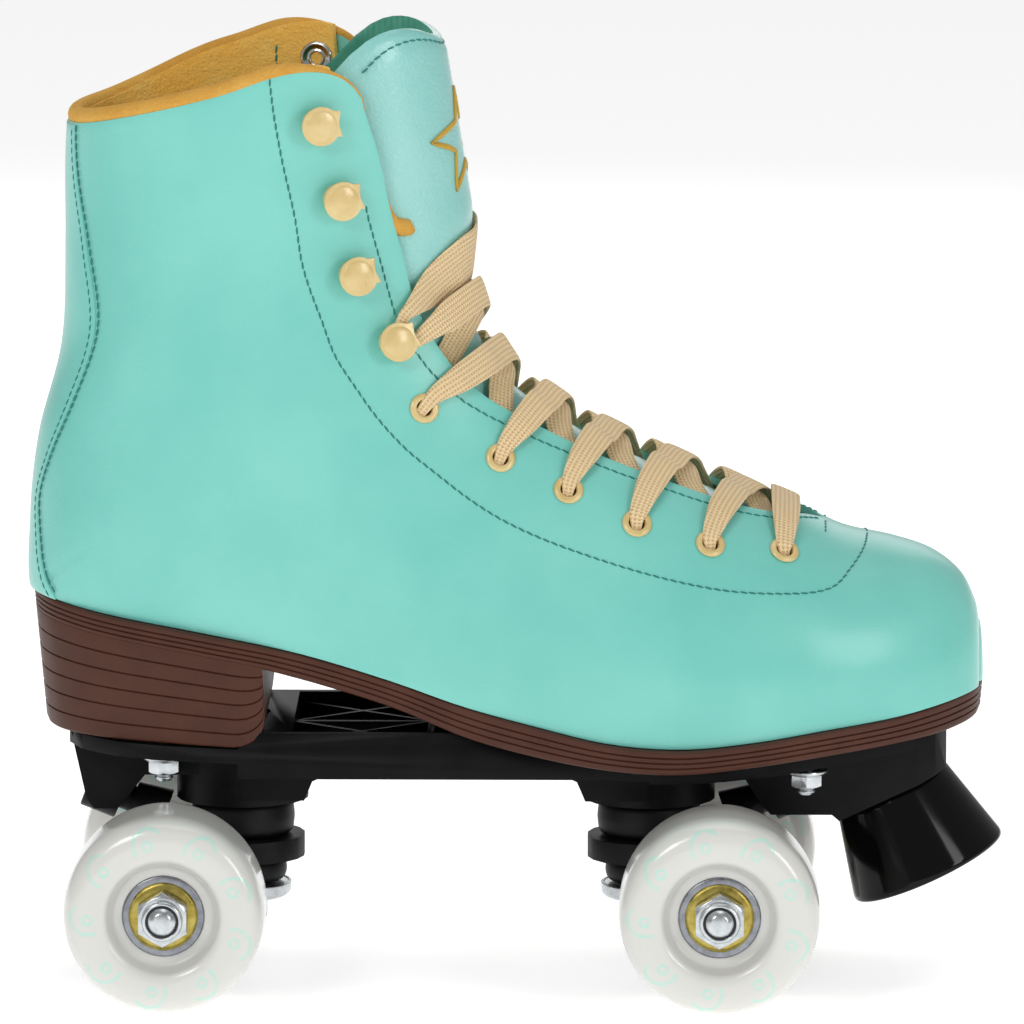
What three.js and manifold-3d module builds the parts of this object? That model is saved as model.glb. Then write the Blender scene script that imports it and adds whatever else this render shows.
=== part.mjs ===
// Quad roller skate, right foot: a laced boot on a two-truck plate with four wheels.
// Millimetres, +Z up, +X towards the toe, -Y on the wearer's outer side.
// Heights are laid out from a floor 27 mm below the axle line, and the finished group
// is then set down so that its box stands on z = 0 with its centre at x = y = 0.

import * as THREE from "three";
import { mergeVertices } from "three/addons/utils/BufferGeometryUtils.js";
import Module from "manifold-3d";

const wasm = await Module();
wasm.setup();

// ---------------------------------------------------------------- driving dimensions

const GAP = 0.3;

const WHEEL_DIAMETER = 54;
const WHEEL_WIDTH = 32;
const WHEEL_SIDES = 20;
const TRACK = 94;
const WHEELBASE = 149;
const AXLE_Z = 27;
const REAR_AXLE_X = -92.5;
const HUB_RECESS_RADIUS = 15.5;
const HUB_RECESS_DEPTH = 4.6;

const BEARING_OUTER_RADIUS = 11;
const BEARING_BORE_RADIUS = 4;
const BEARING_WIDTH = 7;
const BEARING_SPACING = 8.4;
const OUTER_RACE_INNER_RADIUS = 7.2;
const INNER_RACE_OUTER_RADIUS = 6.4;

const AXLE_RADIUS = 3.7;
const AXLE_NUT_FLATS = 13;
const AXLE_NUT_HEIGHT = 7.5;

const KINGPIN_OFFSET = 19;
const KINGPIN_RADIUS = 4;
const KINGPIN_BOTTOM_Z = 13.5;
const KINGPIN_HEAD_RADIUS = 7.5;
const KINGPIN_NUT_FLATS = 13;
const PIVOT_OFFSET = 38.6;
const PIVOT_Z = 51;
const PIVOT_PIN_RADIUS = 3.6;
const PIVOT_CUP_RADIUS = 6.6;
const RING_RADIUS = 17;
const RING_Z = [32.5, 38.4];
const RING_HOLE_RADIUS = 6.6;
const UPPER_CUSHION_RADIUS = 14.5;
const LOWER_CUSHION_RADIUS = 12.3;
const LOWER_CUSHION_BOTTOM_Z = 25.6;
const CUP_WASHER_RADIUS = 13.2;
const CUP_WASHER_Z = [21.3, 25.3];
const HANGER_RADIUS = 7.5;
const CUSHION_CLEARANCE = 1.1;

const PLATE_HALF_WIDTH = 32.5;
const PLATE_WALL = 2.6;
const RAIL_Z = [59.4, 72.1];
const FLANGE_THICKNESS = 4;
const BOSS_RADIUS = 18;
const BOSS_BOTTOM_Z = 48.7;
const SPINE_HALF_WIDTH = 18;

const TOE_STOP_TILT = 25;
const TOE_STOP_LENGTH = 25;
const TOE_STOP_TOP_RADIUS = 16.3;
const TOE_STOP_FACE_RADIUS = 22;
const TOE_STOP_OFFSET = 47;
const TOE_STOP_TOP_Z = 51.9;
const TOE_STOP_BOLT_RADIUS = 4;

const BOLT_RADIUS = 2.5;
const BOLT_HEAD_RADIUS = 5;
const BOLT_HEAD_CLEARANCE = 1.5;
const BOLT_HALF_SPACING = { rear: 21, front: 26 };
const BOLT_NUT_FLATS = 8;
const BOLT_NUT_CLEARANCE = 0.8;
const BOLT_X = [-94, 80];

const SOLE_LENGTH = 258.6;
const SOLE_DRAFT = 0.09;
const TOE_SWING = 5;
const UPPER_WALL = 2;
const LINING_WALL = 2.4;
const COLLAR_RIM = 3.5;
const TONGUE_THICKNESS = 6;
const FOOTBED_THICKNESS = 4;

const EYELET_HOLE_RADIUS = 3;
const LACE_RADIUS = 0.95;
const LACE_CLEARANCE = 0.65;
const HOOK_POST_RADIUS = 2.4;

const frontAxleX = REAR_AXLE_X + WHEELBASE;
const soleScale = SOLE_LENGTH / 258.6;

// ---------------------------------------------------------------- materials

const FINISH = {
  nylon: { color: 0x17171a, roughness: 0.5, metalness: 0 },
  rubber: { color: 0x101012, roughness: 0.25, metalness: 0 },
  urethane: { color: 0xe8e6e2, roughness: 0.25, metalness: 0 },
  zinc: { color: 0xc4c7ca, roughness: 0.3, metalness: 1 },
  steel: { color: 0x9a9ca0, roughness: 0.3, metalness: 1 },
  paintedSteel: { color: 0x1b1b1d, roughness: 0.4, metalness: 0.2 },
  cushion: { color: 0x161618, roughness: 0.55, metalness: 0 },
  upper: { color: 0x7fd3c7, roughness: 0.4, metalness: 0 },
  lining: { color: 0xe0a848, roughness: 0.95, metalness: 0 },
  sole: { color: 0x4e3026, roughness: 0.6, metalness: 0 },
  lace: { color: 0xe8cfa6, roughness: 0.9, metalness: 0 },
};

// ---------------------------------------------------------------- solids

function signedVolume(positions, index) {
  const a = new THREE.Vector3();
  const b = new THREE.Vector3();
  const c = new THREE.Vector3();
  let volume = 0;
  for (let i = 0; i < index.length; i += 3) {
    a.fromArray(positions, index[i] * 3);
    b.fromArray(positions, index[i + 1] * 3);
    c.fromArray(positions, index[i + 2] * 3);
    volume += a.dot(b.cross(c)) / 6;
  }
  return volume;
}

function solid(geometry) {
  const bare = geometry.clone();
  bare.deleteAttribute("normal");
  bare.deleteAttribute("uv");
  const merged = mergeVertices(bare, 1e-4);
  const positions = new Float32Array(merged.attributes.position.array);
  const corners = merged.index.array;
  const index = [];
  for (let i = 0; i < corners.length; i += 3) {
    const [a, b, c] = [corners[i], corners[i + 1], corners[i + 2]];
    if (a !== b && b !== c && c !== a) index.push(a, b, c);
  }
  if (signedVolume(positions, index) < 0) index.reverse();
  const triVerts = new Uint32Array(index);
  return new wasm.Manifold(new wasm.Mesh({ numProp: 3, vertProperties: positions, triVerts }));
}

function geometryOf(body) {
  const mesh = body.getMesh();
  const geometry = new THREE.BufferGeometry();
  geometry.setAttribute("position", new THREE.BufferAttribute(mesh.vertProperties, 3));
  geometry.setIndex(new THREE.BufferAttribute(mesh.triVerts, 1));
  geometry.computeVertexNormals();
  return geometry;
}

function joined(pieces) {
  return pieces.reduce((whole, piece) => whole.add(piece));
}

function block(x0, x1, y0, y1, z0, z1) {
  const geometry = new THREE.BoxGeometry(x1 - x0, y1 - y0, z1 - z0);
  return solid(geometry.translate((x0 + x1) / 2, (y0 + y1) / 2, (z0 + z1) / 2));
}

// A round bar from one point to another, with a radius at each end.
function bar(from, to, radiusFrom, radiusTo, sides) {
  const axis = to.clone().sub(from);
  const geometry = new THREE.CylinderGeometry(radiusTo, radiusFrom, axis.length(), sides);
  geometry.rotateY(Math.PI / sides);
  const turn = new THREE.Quaternion();
  turn.setFromUnitVectors(new THREE.Vector3(0, 1, 0), axis.clone().normalize());
  geometry.applyQuaternion(turn);
  const middle = from.clone().add(to).multiplyScalar(0.5);
  return solid(geometry.translate(middle.x, middle.y, middle.z));
}

function post(x, y, z0, z1, radius, sides) {
  return bar(new THREE.Vector3(x, y, z0), new THREE.Vector3(x, y, z1), radius, radius, sides);
}

function sheetShape(points) {
  return new THREE.Shape(points.map(([u, v]) => new THREE.Vector2(u, v)));
}

// A side-view outline (x, z) carried across from y0 to y1.
function acrossY(points, y0, y1) {
  const geometry = new THREE.ExtrudeGeometry(sheetShape(points), { depth: y1 - y0, bevelEnabled: false });
  return solid(geometry.rotateX(Math.PI / 2).translate(0, y1, 0));
}

// A plan outline (x, y) carried up from z0 to z1.
function upZ(points, z0, z1) {
  const geometry = new THREE.ExtrudeGeometry(sheetShape(points), { depth: z1 - z0, bevelEnabled: false });
  return solid(geometry.translate(0, 0, z0));
}

// A (radius, height) profile turned about the Y axis, with one flat facet facing straight down.
function turned(profile, sides) {
  const points = profile.map(([r, h]) => new THREE.Vector2(r, h));
  return solid(new THREE.LatheGeometry(points, sides, Math.PI / sides));
}

// The same, turned about a vertical axis through (x, y).
function turnedUp(profile, sides, x, y) {
  const points = profile.map(([r, h]) => new THREE.Vector2(r, h));
  const geometry = new THREE.LatheGeometry(points, sides, Math.PI / sides);
  return solid(geometry.rotateX(Math.PI / 2).translate(x, y, 0));
}

function ringProfile(inner, outer, h0, h1) {
  return [[inner, h0], [outer, h0], [outer, h1], [inner, h1], [inner, h0]];
}

// A skin through rings of equal count, closed by a fan at each end.
function loft(rings) {
  const count = rings[0].length;
  const positions = [];
  const index = [];
  for (const ring of rings) {
    for (const point of ring) positions.push(point.x, point.y, point.z);
  }
  for (let r = 0; r + 1 < rings.length; r += 1) {
    for (let i = 0; i < count; i += 1) {
      const a = r * count + i;
      const b = r * count + (i + 1) % count;
      index.push(a, b, b + count, a, b + count, a + count);
    }
  }
  for (const [start, turn] of [[0, 1], [(rings.length - 1) * count, -1]]) {
    const centre = new THREE.Vector3();
    for (let i = 0; i < count; i += 1) {
      centre.add(new THREE.Vector3().fromArray(positions, (start + i) * 3));
    }
    centre.divideScalar(count);
    const hub = positions.length / 3;
    positions.push(centre.x, centre.y, centre.z);
    for (let i = 0; i < count; i += 1) {
      const a = start + i;
      const b = start + (i + 1) % count;
      if (turn > 0) index.push(hub, b, a);
      else index.push(hub, a, b);
    }
  }
  const geometry = new THREE.BufferGeometry();
  geometry.setAttribute("position", new THREE.Float32BufferAttribute(positions, 3));
  geometry.setIndex(index);
  return solid(geometry);
}

// Smooth value at x through rows of [x, value], with x rising.
function through(rows, x) {
  const last = rows.length - 1;
  if (x <= rows[0][0]) return rows[0][1];
  if (x >= rows[last][0]) return rows[last][1];
  let i = 0;
  while (rows[i + 1][0] < x) i += 1;
  const slope = (k) => {
    const a = rows[Math.max(k - 1, 0)];
    const b = rows[Math.min(k + 1, last)];
    return (b[1] - a[1]) / (b[0] - a[0]);
  };
  const [x0, v0] = rows[i];
  const [x1, v1] = rows[i + 1];
  const h = x1 - x0;
  const s = (x - x0) / h;
  const rise = (1 + 2 * s) * (1 - s) ** 2 * v0 + s * (1 - s) ** 2 * h * slope(i);
  return rise + s * s * (3 - 2 * s) * v1 + s * s * (s - 1) * h * slope(i + 1);
}

function smooth(from, to, x) {
  const s = Math.min(Math.max((x - from) / (to - from), 0), 1);
  return s * s * (3 - 2 * s);
}

function sampled(from, to, count, value) {
  return Array.from({ length: count + 1 }, (_, i) => {
    const x = from + (to - from) * i / count;
    return [x, value(x)];
  });
}

// ---------------------------------------------------------------- boot and sole lines

// Side view of the sole's top and bottom edges, [x, z], for a 258.6 mm sole.
const SOLE_TOP = [
  [-131, 108], [-109, 103.6], [-83.5, 99.1], [-57.6, 93.8], [-31.8, 86.2], [-12.4, 79.6], [7, 74.8],
  [26.5, 70.7], [46, 69.4], [65, 71], [84.5, 73.8], [104, 76.3], [117, 78.8], [129, 81.4],
];
const SOLE_BOTTOM = [
  [-66, 89.4], [-52, 85.4], [-32, 79.1], [-12, 71.2], [7, 66.7], [26, 63.8], [46, 62.9],
  [65, 64.6], [84, 66.9], [104, 69.1], [117, 70.6], [129, 73],
];
const HEEL_BACK = [-130.2, -126.2];
const HEEL_BREAST_X = -67;
const HEEL_SEAT_Z = [70.4, 67.4];
const SOLE_HALF_WIDTH = [
  [-130.2, 0], [-128.6, 11], [-124, 21], [-114, 29], [-98, 33.2], [-78, 34.8], [-50, 33.2],
  [-20, 34.5], [10, 40.5], [38, 45.5], [60, 46.2], [82, 43.8], [100, 38], [113, 30.5],
  [122, 21.5], [126.8, 12], [128.4, 0],
];

// Cross-sections of the closed boot from the toe, round the ankle, to above the collar. Each
// lies between a crest point and a far point (x, z): the crest runs along the instep and
// the front of the shaft, the far point along the sole and up the back.
// [crest x, crest z, far x, far z, half width, widest place, crest power, far power]
const SECTIONS = [
  [127.2, 97.5, 127.2, 80, 9, 0.6, 2.2, 3],
  [126, 103, 126.4, 75, 16, 0.62, 2.2, 3.6],
  [122, 110.5, 122.5, 71, 22.5, 0.66, 2.2, 4.5],
  [114, 116.6, 115, 69, 29.5, 0.68, 2.2, 5],
  [103, 120.2, 103, 66, 35.5, 0.68, 2.2, 6],
  [90, 123.2, 88, 64, 40.3, 0.68, 2.1, 6],
  [76, 130, 72, 61.5, 43, 0.68, 2, 6],
  [58, 138, 51, 59, 43.8, 0.68, 1.9, 6],
  [40, 146, 29, 60, 42.4, 0.68, 1.9, 6],
  [24, 153.5, 6, 64.5, 39, 0.66, 1.9, 6],
  [11, 161.5, -18, 70.8, 35.6, 0.64, 1.9, 6],
  [1, 169.5, -50, 80, 33.6, 0.62, 2, 6],
  [-5, 180, -84, 87, 33.6, 0.6, 2, 5],
  [-9, 191, -117, 93, 33.8, 0.58, 2.1, 3.4],
  [-11.5, 202, -132.4, 104, 34, 0.57, 2.1, 2.6],
  [-13.5, 213, -131.6, 127, 34, 0.56, 2.1, 2.3],
  [-15.5, 225, -129.2, 150, 34, 0.56, 2.1, 2.3],
  [-17.5, 237, -123.4, 175, 34, 0.55, 2.1, 2.3],
  [-19.5, 249, -121.4, 202, 34.3, 0.54, 2.1, 2.3],
  [-21.5, 260, -120.2, 226, 35, 0.53, 2.1, 2.3],
  [-24, 274, -118.6, 252, 36, 0.52, 2.1, 2.3],
];
const SECTION_SIDES = 20;

// Half the width of the throat opening, and of the tongue under it, along the sections.
const THROAT_START = 5.6;
const THROAT_HALF_WIDTH = [
  [5.6, 3], [5.9, 9], [6.3, 14], [6.8, 16.5], [8, 17.7], [10, 17.2], [11.5, 19.4], [13, 21.3],
  [15, 22.9], [17, 25.2], [18.25, 27.3], [20, 29],
];
const TONGUE_OVERLAP = 8;
const TONGUE_MAX_HALF_WIDTH = 26;
const LINING_SETBACK = [[5.6, 20], [8, 19], [10, 15], [12, 13], [14, 11], [16.2, 9], [17.5, 1], [20, 1]];

// Top edge of the upper and of the tongue in side view, [x, z].
const COLLAR = [
  [-140, 233.5], [-120, 235], [-102, 239], [-89, 242.2], [-76, 245.7], [-63.5, 250], [-55, 251.4],
  [-48, 250.6], [-42, 247], [-38, 240], [-34, 228], [-20, 222],
];
const TONGUE_TOP = [[-60, 236], [-46, 245], [-39, 255], [-32, 261], [-24, 262], [-17, 258], [-10, 250]];

// Eyelets and hooks in pairs up the throat: [section, distance outside the throat edge].
const EYELETS = [[6.1, 14.5], [7.15, 12.5], [8.2, 11.7], [9.3, 9.2], [10.5, 7.6], [12.05, 6]];
const HOOK = [13.45, 4];

function toeShift(x) {
  return TOE_SWING * smooth(10, 127, x);
}

function sectionAt(place) {
  return SECTIONS[0].map((_, column) => {
    return through(SECTIONS.map((row, k) => [k, row[column]]), place);
  });
}

// A point on a section: turn 0 is the crest, half a turn the far point; inset is inwards.
function bootPoint(place, turn, inset) {
  const [cx, cz, fx, fz, halfWidth, widest, crestPower, farPower] = sectionAt(place);
  const along = new THREE.Vector2(fx - cx, fz - cz);
  const length = along.length() - 2 * inset;
  along.normalize();
  const cosine = Math.cos(turn);
  const sine = Math.sin(turn);
  const power = 2 / (cosine > 0 ? crestPower : farPower);
  const reach = (cosine > 0 ? widest : 1 - widest) * length;
  const run = inset + widest * length - Math.sign(cosine) * Math.abs(cosine) ** power * reach;
  const y = Math.sign(sine) * Math.abs(sine) ** power * (halfWidth - inset);
  const x = cx + along.x * run;
  const pull = inset * smooth(100, 127, x);
  return new THREE.Vector3((x - pull) * soleScale, y + toeShift(x), cz + along.y * run);
}

// The same surface found by distance from the middle line instead of by turn.
function bootPointAcross(place, y, inset) {
  const [, , , , halfWidth, , crestPower] = sectionAt(place);
  const share = Math.min(Math.abs(y) / (halfWidth - inset), 1);
  const turn = Math.asin(share ** (crestPower / 2)) * Math.sign(y);
  return bootPoint(place, turn, inset);
}

function bootBody(inset) {
  const rings = [];
  for (let k = 0; k < SECTIONS.length; k += 1) {
    const ring = [];
    for (let i = 0; i < SECTION_SIDES; i += 1) {
      ring.push(bootPoint(k, 2 * Math.PI * i / SECTION_SIDES, inset));
    }
    rings.push(ring);
  }
  return loft(rings);
}

// A wedge along the crest that opens or keeps the throat, with the given half width.
function throatWedge(halfWidthAt, depthShare) {
  const rings = [];
  const places = [THROAT_START, 5.75, 6.4, ...SECTIONS.keys()].filter((place) => place >= THROAT_START);
  places.sort((a, b) => a - b);
  for (const place of places) {
    const [cx, cz, fx, fz] = sectionAt(place);
    const along = new THREE.Vector3(fx - cx, 0, fz - cz);
    const top = new THREE.Vector3(cx * soleScale, toeShift(cx), cz).addScaledVector(along, -0.3);
    const low = new THREE.Vector3(cx * soleScale, toeShift(cx), cz).addScaledVector(along, depthShare);
    const side = new THREE.Vector3(0, halfWidthAt(place), 0);
    rings.push([
      top.clone().sub(side), top.clone().add(side), low.clone().add(side), low.clone().sub(side),
    ]);
  }
  return loft(rings);
}

function throatHalfWidth(place) {
  return through(THROAT_HALF_WIDTH, place);
}

function tongueHalfWidth(place) {
  return Math.min(throatHalfWidth(place) + TONGUE_OVERLAP, TONGUE_MAX_HALF_WIDTH);
}

function aboveLine(rows, lift) {
  const first = rows[0][0] * soleScale;
  const last = rows[rows.length - 1][0] * soleScale;
  const line = rows.map(([x, z]) => [x * soleScale, z + lift]);
  return acrossY([...line, [last + 60, line[line.length - 1][1]], [last + 60, 330], [first - 40, 330],
    [first - 40, line[0][1]]], -80, 80);
}

function soleTopZ(x) {
  return through(SOLE_TOP, x / soleScale);
}

function soleBottomZ(x) {
  return through(SOLE_BOTTOM, x / soleScale);
}

function heelSeatZ(x) {
  const share = (x / soleScale - HEEL_BACK[1]) / (HEEL_BREAST_X - HEEL_BACK[1]);
  return HEEL_SEAT_Z[0] + (HEEL_SEAT_Z[1] - HEEL_SEAT_Z[0]) * share;
}

// Everything below the sole's top line, raised by lift.
function belowSoleTop(lift) {
  return acrossY([...soleTopLine(lift), [140 * soleScale, 0], [-140 * soleScale, 0]], -80, 80);
}

// ---------------------------------------------------------------- the group

const skate = new THREE.Group();

function addPiece(name, body, finish, parent = skate) {
  const mesh = new THREE.Mesh(geometryOf(body), new THREE.MeshStandardMaterial(FINISH[finish]));
  mesh.name = name;
  parent.add(mesh);
  return mesh;
}

// ---------------------------------------------------------------- wheels

const bearingPlaces = [-1, 1].map((side) => side * BEARING_SPACING);

function wheelBody() {
  const tread = WHEEL_DIAMETER / 2 / Math.cos(Math.PI / WHEEL_SIDES);
  const half = WHEEL_WIDTH / 2;
  const seat = (BEARING_OUTER_RADIUS + GAP) / Math.cos(Math.PI / WHEEL_SIDES);
  const shoulder = BEARING_SPACING - BEARING_WIDTH / 2 - GAP;
  const side = [
    [seat - 2, shoulder], [seat, shoulder], [seat, half - HUB_RECESS_DEPTH],
    [HUB_RECESS_RADIUS, half - 0.5], [tread - 6, half], [tread - 1.8, half - 2.8], [tread, half - 7.5],
  ];
  const other = side.map(([r, h]) => [r, -h]).reverse();
  return turned([...side, ...other, side[0]], WHEEL_SIDES);
}

function bearingRace(inner, outer, sides) {
  const half = BEARING_WIDTH / 2;
  return turned(ringProfile(inner, outer, -half, half), sides);
}

// A hexagon nut standing on height h0, bored through.
function nutBody(x, y, flats, h0, h1, bore) {
  const hex = post(x, y, h0, h1, flats / 2 / Math.cos(Math.PI / 6), 6);
  return hex.subtract(post(x, y, h0 - 1, h1 + 1, bore, 10));
}

function axleNut() {
  const corner = AXLE_NUT_FLATS / 2 / Math.cos(Math.PI / 6);
  const hexTop = AXLE_NUT_HEIGHT - 2;
  const hex = turned([[0, 0], [corner, 0], [corner, hexTop], [0, hexTop]], 6);
  const crown = turned([
    [0, hexTop - 0.5], [4.9, hexTop - 0.5], [4.9, AXLE_NUT_HEIGHT], [0, AXLE_NUT_HEIGHT],
  ], 12);
  const radius = AXLE_RADIUS + GAP;
  const bore = turned([[0, -1], [radius, -1], [radius, 20], [0, 20]], 12);
  return hex.add(crown).subtract(bore);
}

function addWheel(end, sideName, side, axleX) {
  const place = new THREE.Group();
  place.position.set(axleX, side * TRACK / 2, AXLE_Z);
  skate.add(place);
  addPiece(`wheel_${end}_${sideName}`, wheelBody(), "urethane", place);
  const outerRace = bearingRace(OUTER_RACE_INNER_RADIUS, BEARING_OUTER_RADIUS, 16);
  const innerRace = bearingRace(BEARING_BORE_RADIUS + GAP, INNER_RACE_OUTER_RADIUS, 12);
  for (const seat of bearingPlaces) {
    const where = seat * side > 0 ? "outside" : "inside";
    const outer = addPiece(`bearing_race_${end}_${sideName}_${where}`, outerRace, "steel", place);
    const inner = addPiece(`bearing_core_${end}_${sideName}_${where}`, innerRace, "steel", place);
    outer.position.y = seat;
    inner.position.y = seat;
  }
  const nut = addPiece(`axle_nut_${end}_${sideName}`, axleNut(), "zinc", place);
  nut.rotation.z = side > 0 ? 0 : Math.PI;
  nut.position.y = side * (BEARING_SPACING + BEARING_WIDTH / 2 + GAP);
}

// ---------------------------------------------------------------- trucks

const bearingInnerFace = TRACK / 2 - BEARING_SPACING - BEARING_WIDTH / 2;
const axleEnd = TRACK / 2 + BEARING_SPACING + BEARING_WIDTH / 2 + AXLE_NUT_HEIGHT + 1.6;

// Truck solids are laid out with the kingpin at x = 0 and the axle towards +x.
function pivotLine(share) {
  const ringMiddle = (RING_Z[0] + RING_Z[1]) / 2;
  return new THREE.Vector3(PIVOT_OFFSET * share, 0, ringMiddle + (PIVOT_Z - ringMiddle) * share);
}

function hangerBody() {
  const ring = post(0, 0, RING_Z[0], RING_Z[1], RING_RADIUS, 20);
  const end = bearingInnerFace - GAP;
  const barHalf = TRACK / 2 - WHEEL_WIDTH / 2 - 0.8;
  const left = new THREE.Vector3(KINGPIN_OFFSET, -barHalf, AXLE_Z);
  const right = new THREE.Vector3(KINGPIN_OFFSET, barHalf, AXLE_Z);
  const casing = bar(left, right, HANGER_RADIUS, HANGER_RADIUS, 16);
  const leftEnd = new THREE.Vector3(KINGPIN_OFFSET, -end, AXLE_Z);
  const rightEnd = new THREE.Vector3(KINGPIN_OFFSET, end, AXLE_Z);
  const shoulders = bar(leftEnd, rightEnd, INNER_RACE_OUTER_RADIUS, INNER_RACE_OUTER_RADIUS, 16);
  const yoke = acrossY([
    [10, RING_Z[0]], [KINGPIN_OFFSET - 5, AXLE_Z - 5], [KINGPIN_OFFSET + 5, AXLE_Z - 3],
    [KINGPIN_OFFSET + 7, AXLE_Z + 8], [KINGPIN_OFFSET + 9, AXLE_Z + 19.5],
    [KINGPIN_OFFSET + 2, AXLE_Z + 17], [12, RING_Z[1]],
  ], -9, 9);
  const neck = bar(pivotLine(0.55), pivotLine(0.78), 6.5, 5, 16);
  const pin = bar(pivotLine(0.75), pivotLine(1), PIVOT_PIN_RADIUS, PIVOT_PIN_RADIUS, 16);
  const under = post(0, 0, 0, RING_Z[0] - 0.01, CUP_WASHER_RADIUS + CUSHION_CLEARANCE, 20);
  const over = post(0, 0, RING_Z[1] + 0.01, 60, UPPER_CUSHION_RADIUS + CUSHION_CLEARANCE, 20);
  const arms = joined([casing, shoulders, yoke, neck, pin]).subtract(under).subtract(over);
  const body = ring.add(arms);
  const kingpinHole = post(0, 0, 0, 80, RING_HOLE_RADIUS, 16);
  const beyond = new THREE.Vector3(0, 10, 0);
  const bore = bar(leftEnd.sub(beyond), rightEnd.add(beyond), AXLE_RADIUS + GAP, AXLE_RADIUS + GAP, 16);
  return body.subtract(kingpinHole).subtract(bore);
}

function axleBody() {
  const from = new THREE.Vector3(KINGPIN_OFFSET, -axleEnd, AXLE_Z);
  const to = new THREE.Vector3(KINGPIN_OFFSET, axleEnd, AXLE_Z);
  return bar(from, to, AXLE_RADIUS, AXLE_RADIUS, 16);
}

function kingpinBody(topZ) {
  const head = topZ - 5.5;
  return turnedUp([
    [0, KINGPIN_BOTTOM_Z], [KINGPIN_RADIUS - 0.8, KINGPIN_BOTTOM_Z],
    [KINGPIN_RADIUS, KINGPIN_BOTTOM_Z + 0.8],
    [KINGPIN_RADIUS, head], [KINGPIN_HEAD_RADIUS, head], [KINGPIN_HEAD_RADIUS, topZ], [0, topZ],
  ], 16, 0, 0);
}

function cushionBody(radius, z0, z1) {
  const hole = KINGPIN_RADIUS + GAP;
  const waist = radius - 0.8;
  const middle = (z0 + z1) / 2;
  return turnedUp([
    [hole, z0], [waist, z0], [radius, middle], [waist, z1], [hole, z1], [hole, z0],
  ], 16, 0, 0);
}

function cupWasherBody() {
  const [z0, z1] = CUP_WASHER_Z;
  const hole = KINGPIN_RADIUS + GAP;
  return turnedUp([
    [hole, z0], [CUP_WASHER_RADIUS - 1.6, z0], [CUP_WASHER_RADIUS, z0 + 1.4], [CUP_WASHER_RADIUS, z1],
    [hole, z1], [hole, z0],
  ], 16, 0, 0);
}

function kingpinNutBody() {
  const top = CUP_WASHER_Z[0] - GAP;
  return nutBody(0, 0, KINGPIN_NUT_FLATS, top - 6, top, KINGPIN_RADIUS + GAP);
}

function pivotCupBody() {
  const cup = bar(pivotLine(0.85), pivotLine(1.09), PIVOT_CUP_RADIUS, PIVOT_CUP_RADIUS, 16);
  const bore = bar(pivotLine(0.8), pivotLine(1.02), PIVOT_PIN_RADIUS + GAP, PIVOT_PIN_RADIUS + GAP, 16);
  return cup.subtract(bore);
}

function addTruck(end, kingpinX, outward, deckTop) {
  const place = new THREE.Group();
  place.position.x = kingpinX;
  place.rotation.z = outward > 0 ? 0 : Math.PI;
  skate.add(place);
  addPiece(`truck_hanger_${end}`, hangerBody(), "paintedSteel", place);
  addPiece(`axle_${end}`, axleBody(), "zinc", place);
  addPiece(`kingpin_${end}`, kingpinBody(deckTop), "zinc", place);
  const upper = cushionBody(UPPER_CUSHION_RADIUS, RING_Z[1] + GAP, BOSS_BOTTOM_Z - GAP);
  addPiece(`cushion_upper_${end}`, upper, "cushion", place);
  const lower = cushionBody(LOWER_CUSHION_RADIUS, LOWER_CUSHION_BOTTOM_Z, RING_Z[0] - GAP);
  addPiece(`cushion_lower_${end}`, lower, "cushion", place);
  addPiece(`cup_washer_${end}`, cupWasherBody(), "zinc", place);
  addPiece(`kingpin_nut_${end}`, kingpinNutBody(), "zinc", place);
  addPiece(`pivot_cup_${end}`, pivotCupBody(), "urethane", place);
}

// ---------------------------------------------------------------- plate

const rearKingpinX = REAR_AXLE_X + KINGPIN_OFFSET;
const frontKingpinX = frontAxleX - KINGPIN_OFFSET;
const noseX = frontAxleX + TOE_STOP_OFFSET + TOE_STOP_TOP_RADIUS * 0.9;
const deckBackX = REAR_AXLE_X - 27.5;
const railStartX = rearKingpinX + 10.5;
const stopTilt = THREE.MathUtils.degToRad(TOE_STOP_TILT);
const stopAxis = new THREE.Vector3(Math.sin(stopTilt), 0, -Math.cos(stopTilt));
const stopTop = new THREE.Vector3(frontAxleX + TOE_STOP_OFFSET, 0, TOE_STOP_TOP_Z);

function deckTopZ(x) {
  return Math.min(soleBottomZ(x) - GAP, RAIL_Z[1]);
}

function kingpinTopZ(x) {
  const top = x < railStartX ? heelSeatZ(x) : soleBottomZ(x);
  return top - GAP - 1.4;
}

// The deck's side outline before the sole is cut out of its top.
function deckSide() {
  const under = sampled(noseX, frontKingpinX, 8, (x) => deckTopZ(x) - FLANGE_THICKNESS);
  return [
    [deckBackX, RAIL_Z[1]], [noseX, RAIL_Z[1]], ...under,
    [frontKingpinX, RAIL_Z[0]], [rearKingpinX, RAIL_Z[0]],
    [rearKingpinX, heelSeatZ(rearKingpinX) - GAP - FLANGE_THICKNESS],
    [deckBackX, heelSeatZ(deckBackX) - GAP - FLANGE_THICKNESS],
  ];
}

function deckPlan() {
  const outline = [
    [deckBackX, 12], [deckBackX + 4, 22], [deckBackX + 14, 30], [deckBackX + 26, PLATE_HALF_WIDTH],
    [frontKingpinX - 14, PLATE_HALF_WIDTH], [frontKingpinX, PLATE_HALF_WIDTH + 2.5],
    [frontAxleX + 16, PLATE_HALF_WIDTH + 2.5], [frontAxleX + 34, 29], [noseX - 14, 22], [noseX - 3, 15],
    [noseX, 10],
  ];
  const other = outline.map(([x, y]) => [x, -y]).reverse();
  return [...outline, ...other];
}

// The hollow middle of the plate, open upwards, crossed by diagonal ribs.
function channelPocket() {
  const inner = PLATE_HALF_WIDTH - PLATE_WALL;
  return block(railStartX + 4, frontKingpinX - BOSS_RADIUS - 4, -inner, inner, RAIL_Z[0] + 2.2, 90);
}

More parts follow.
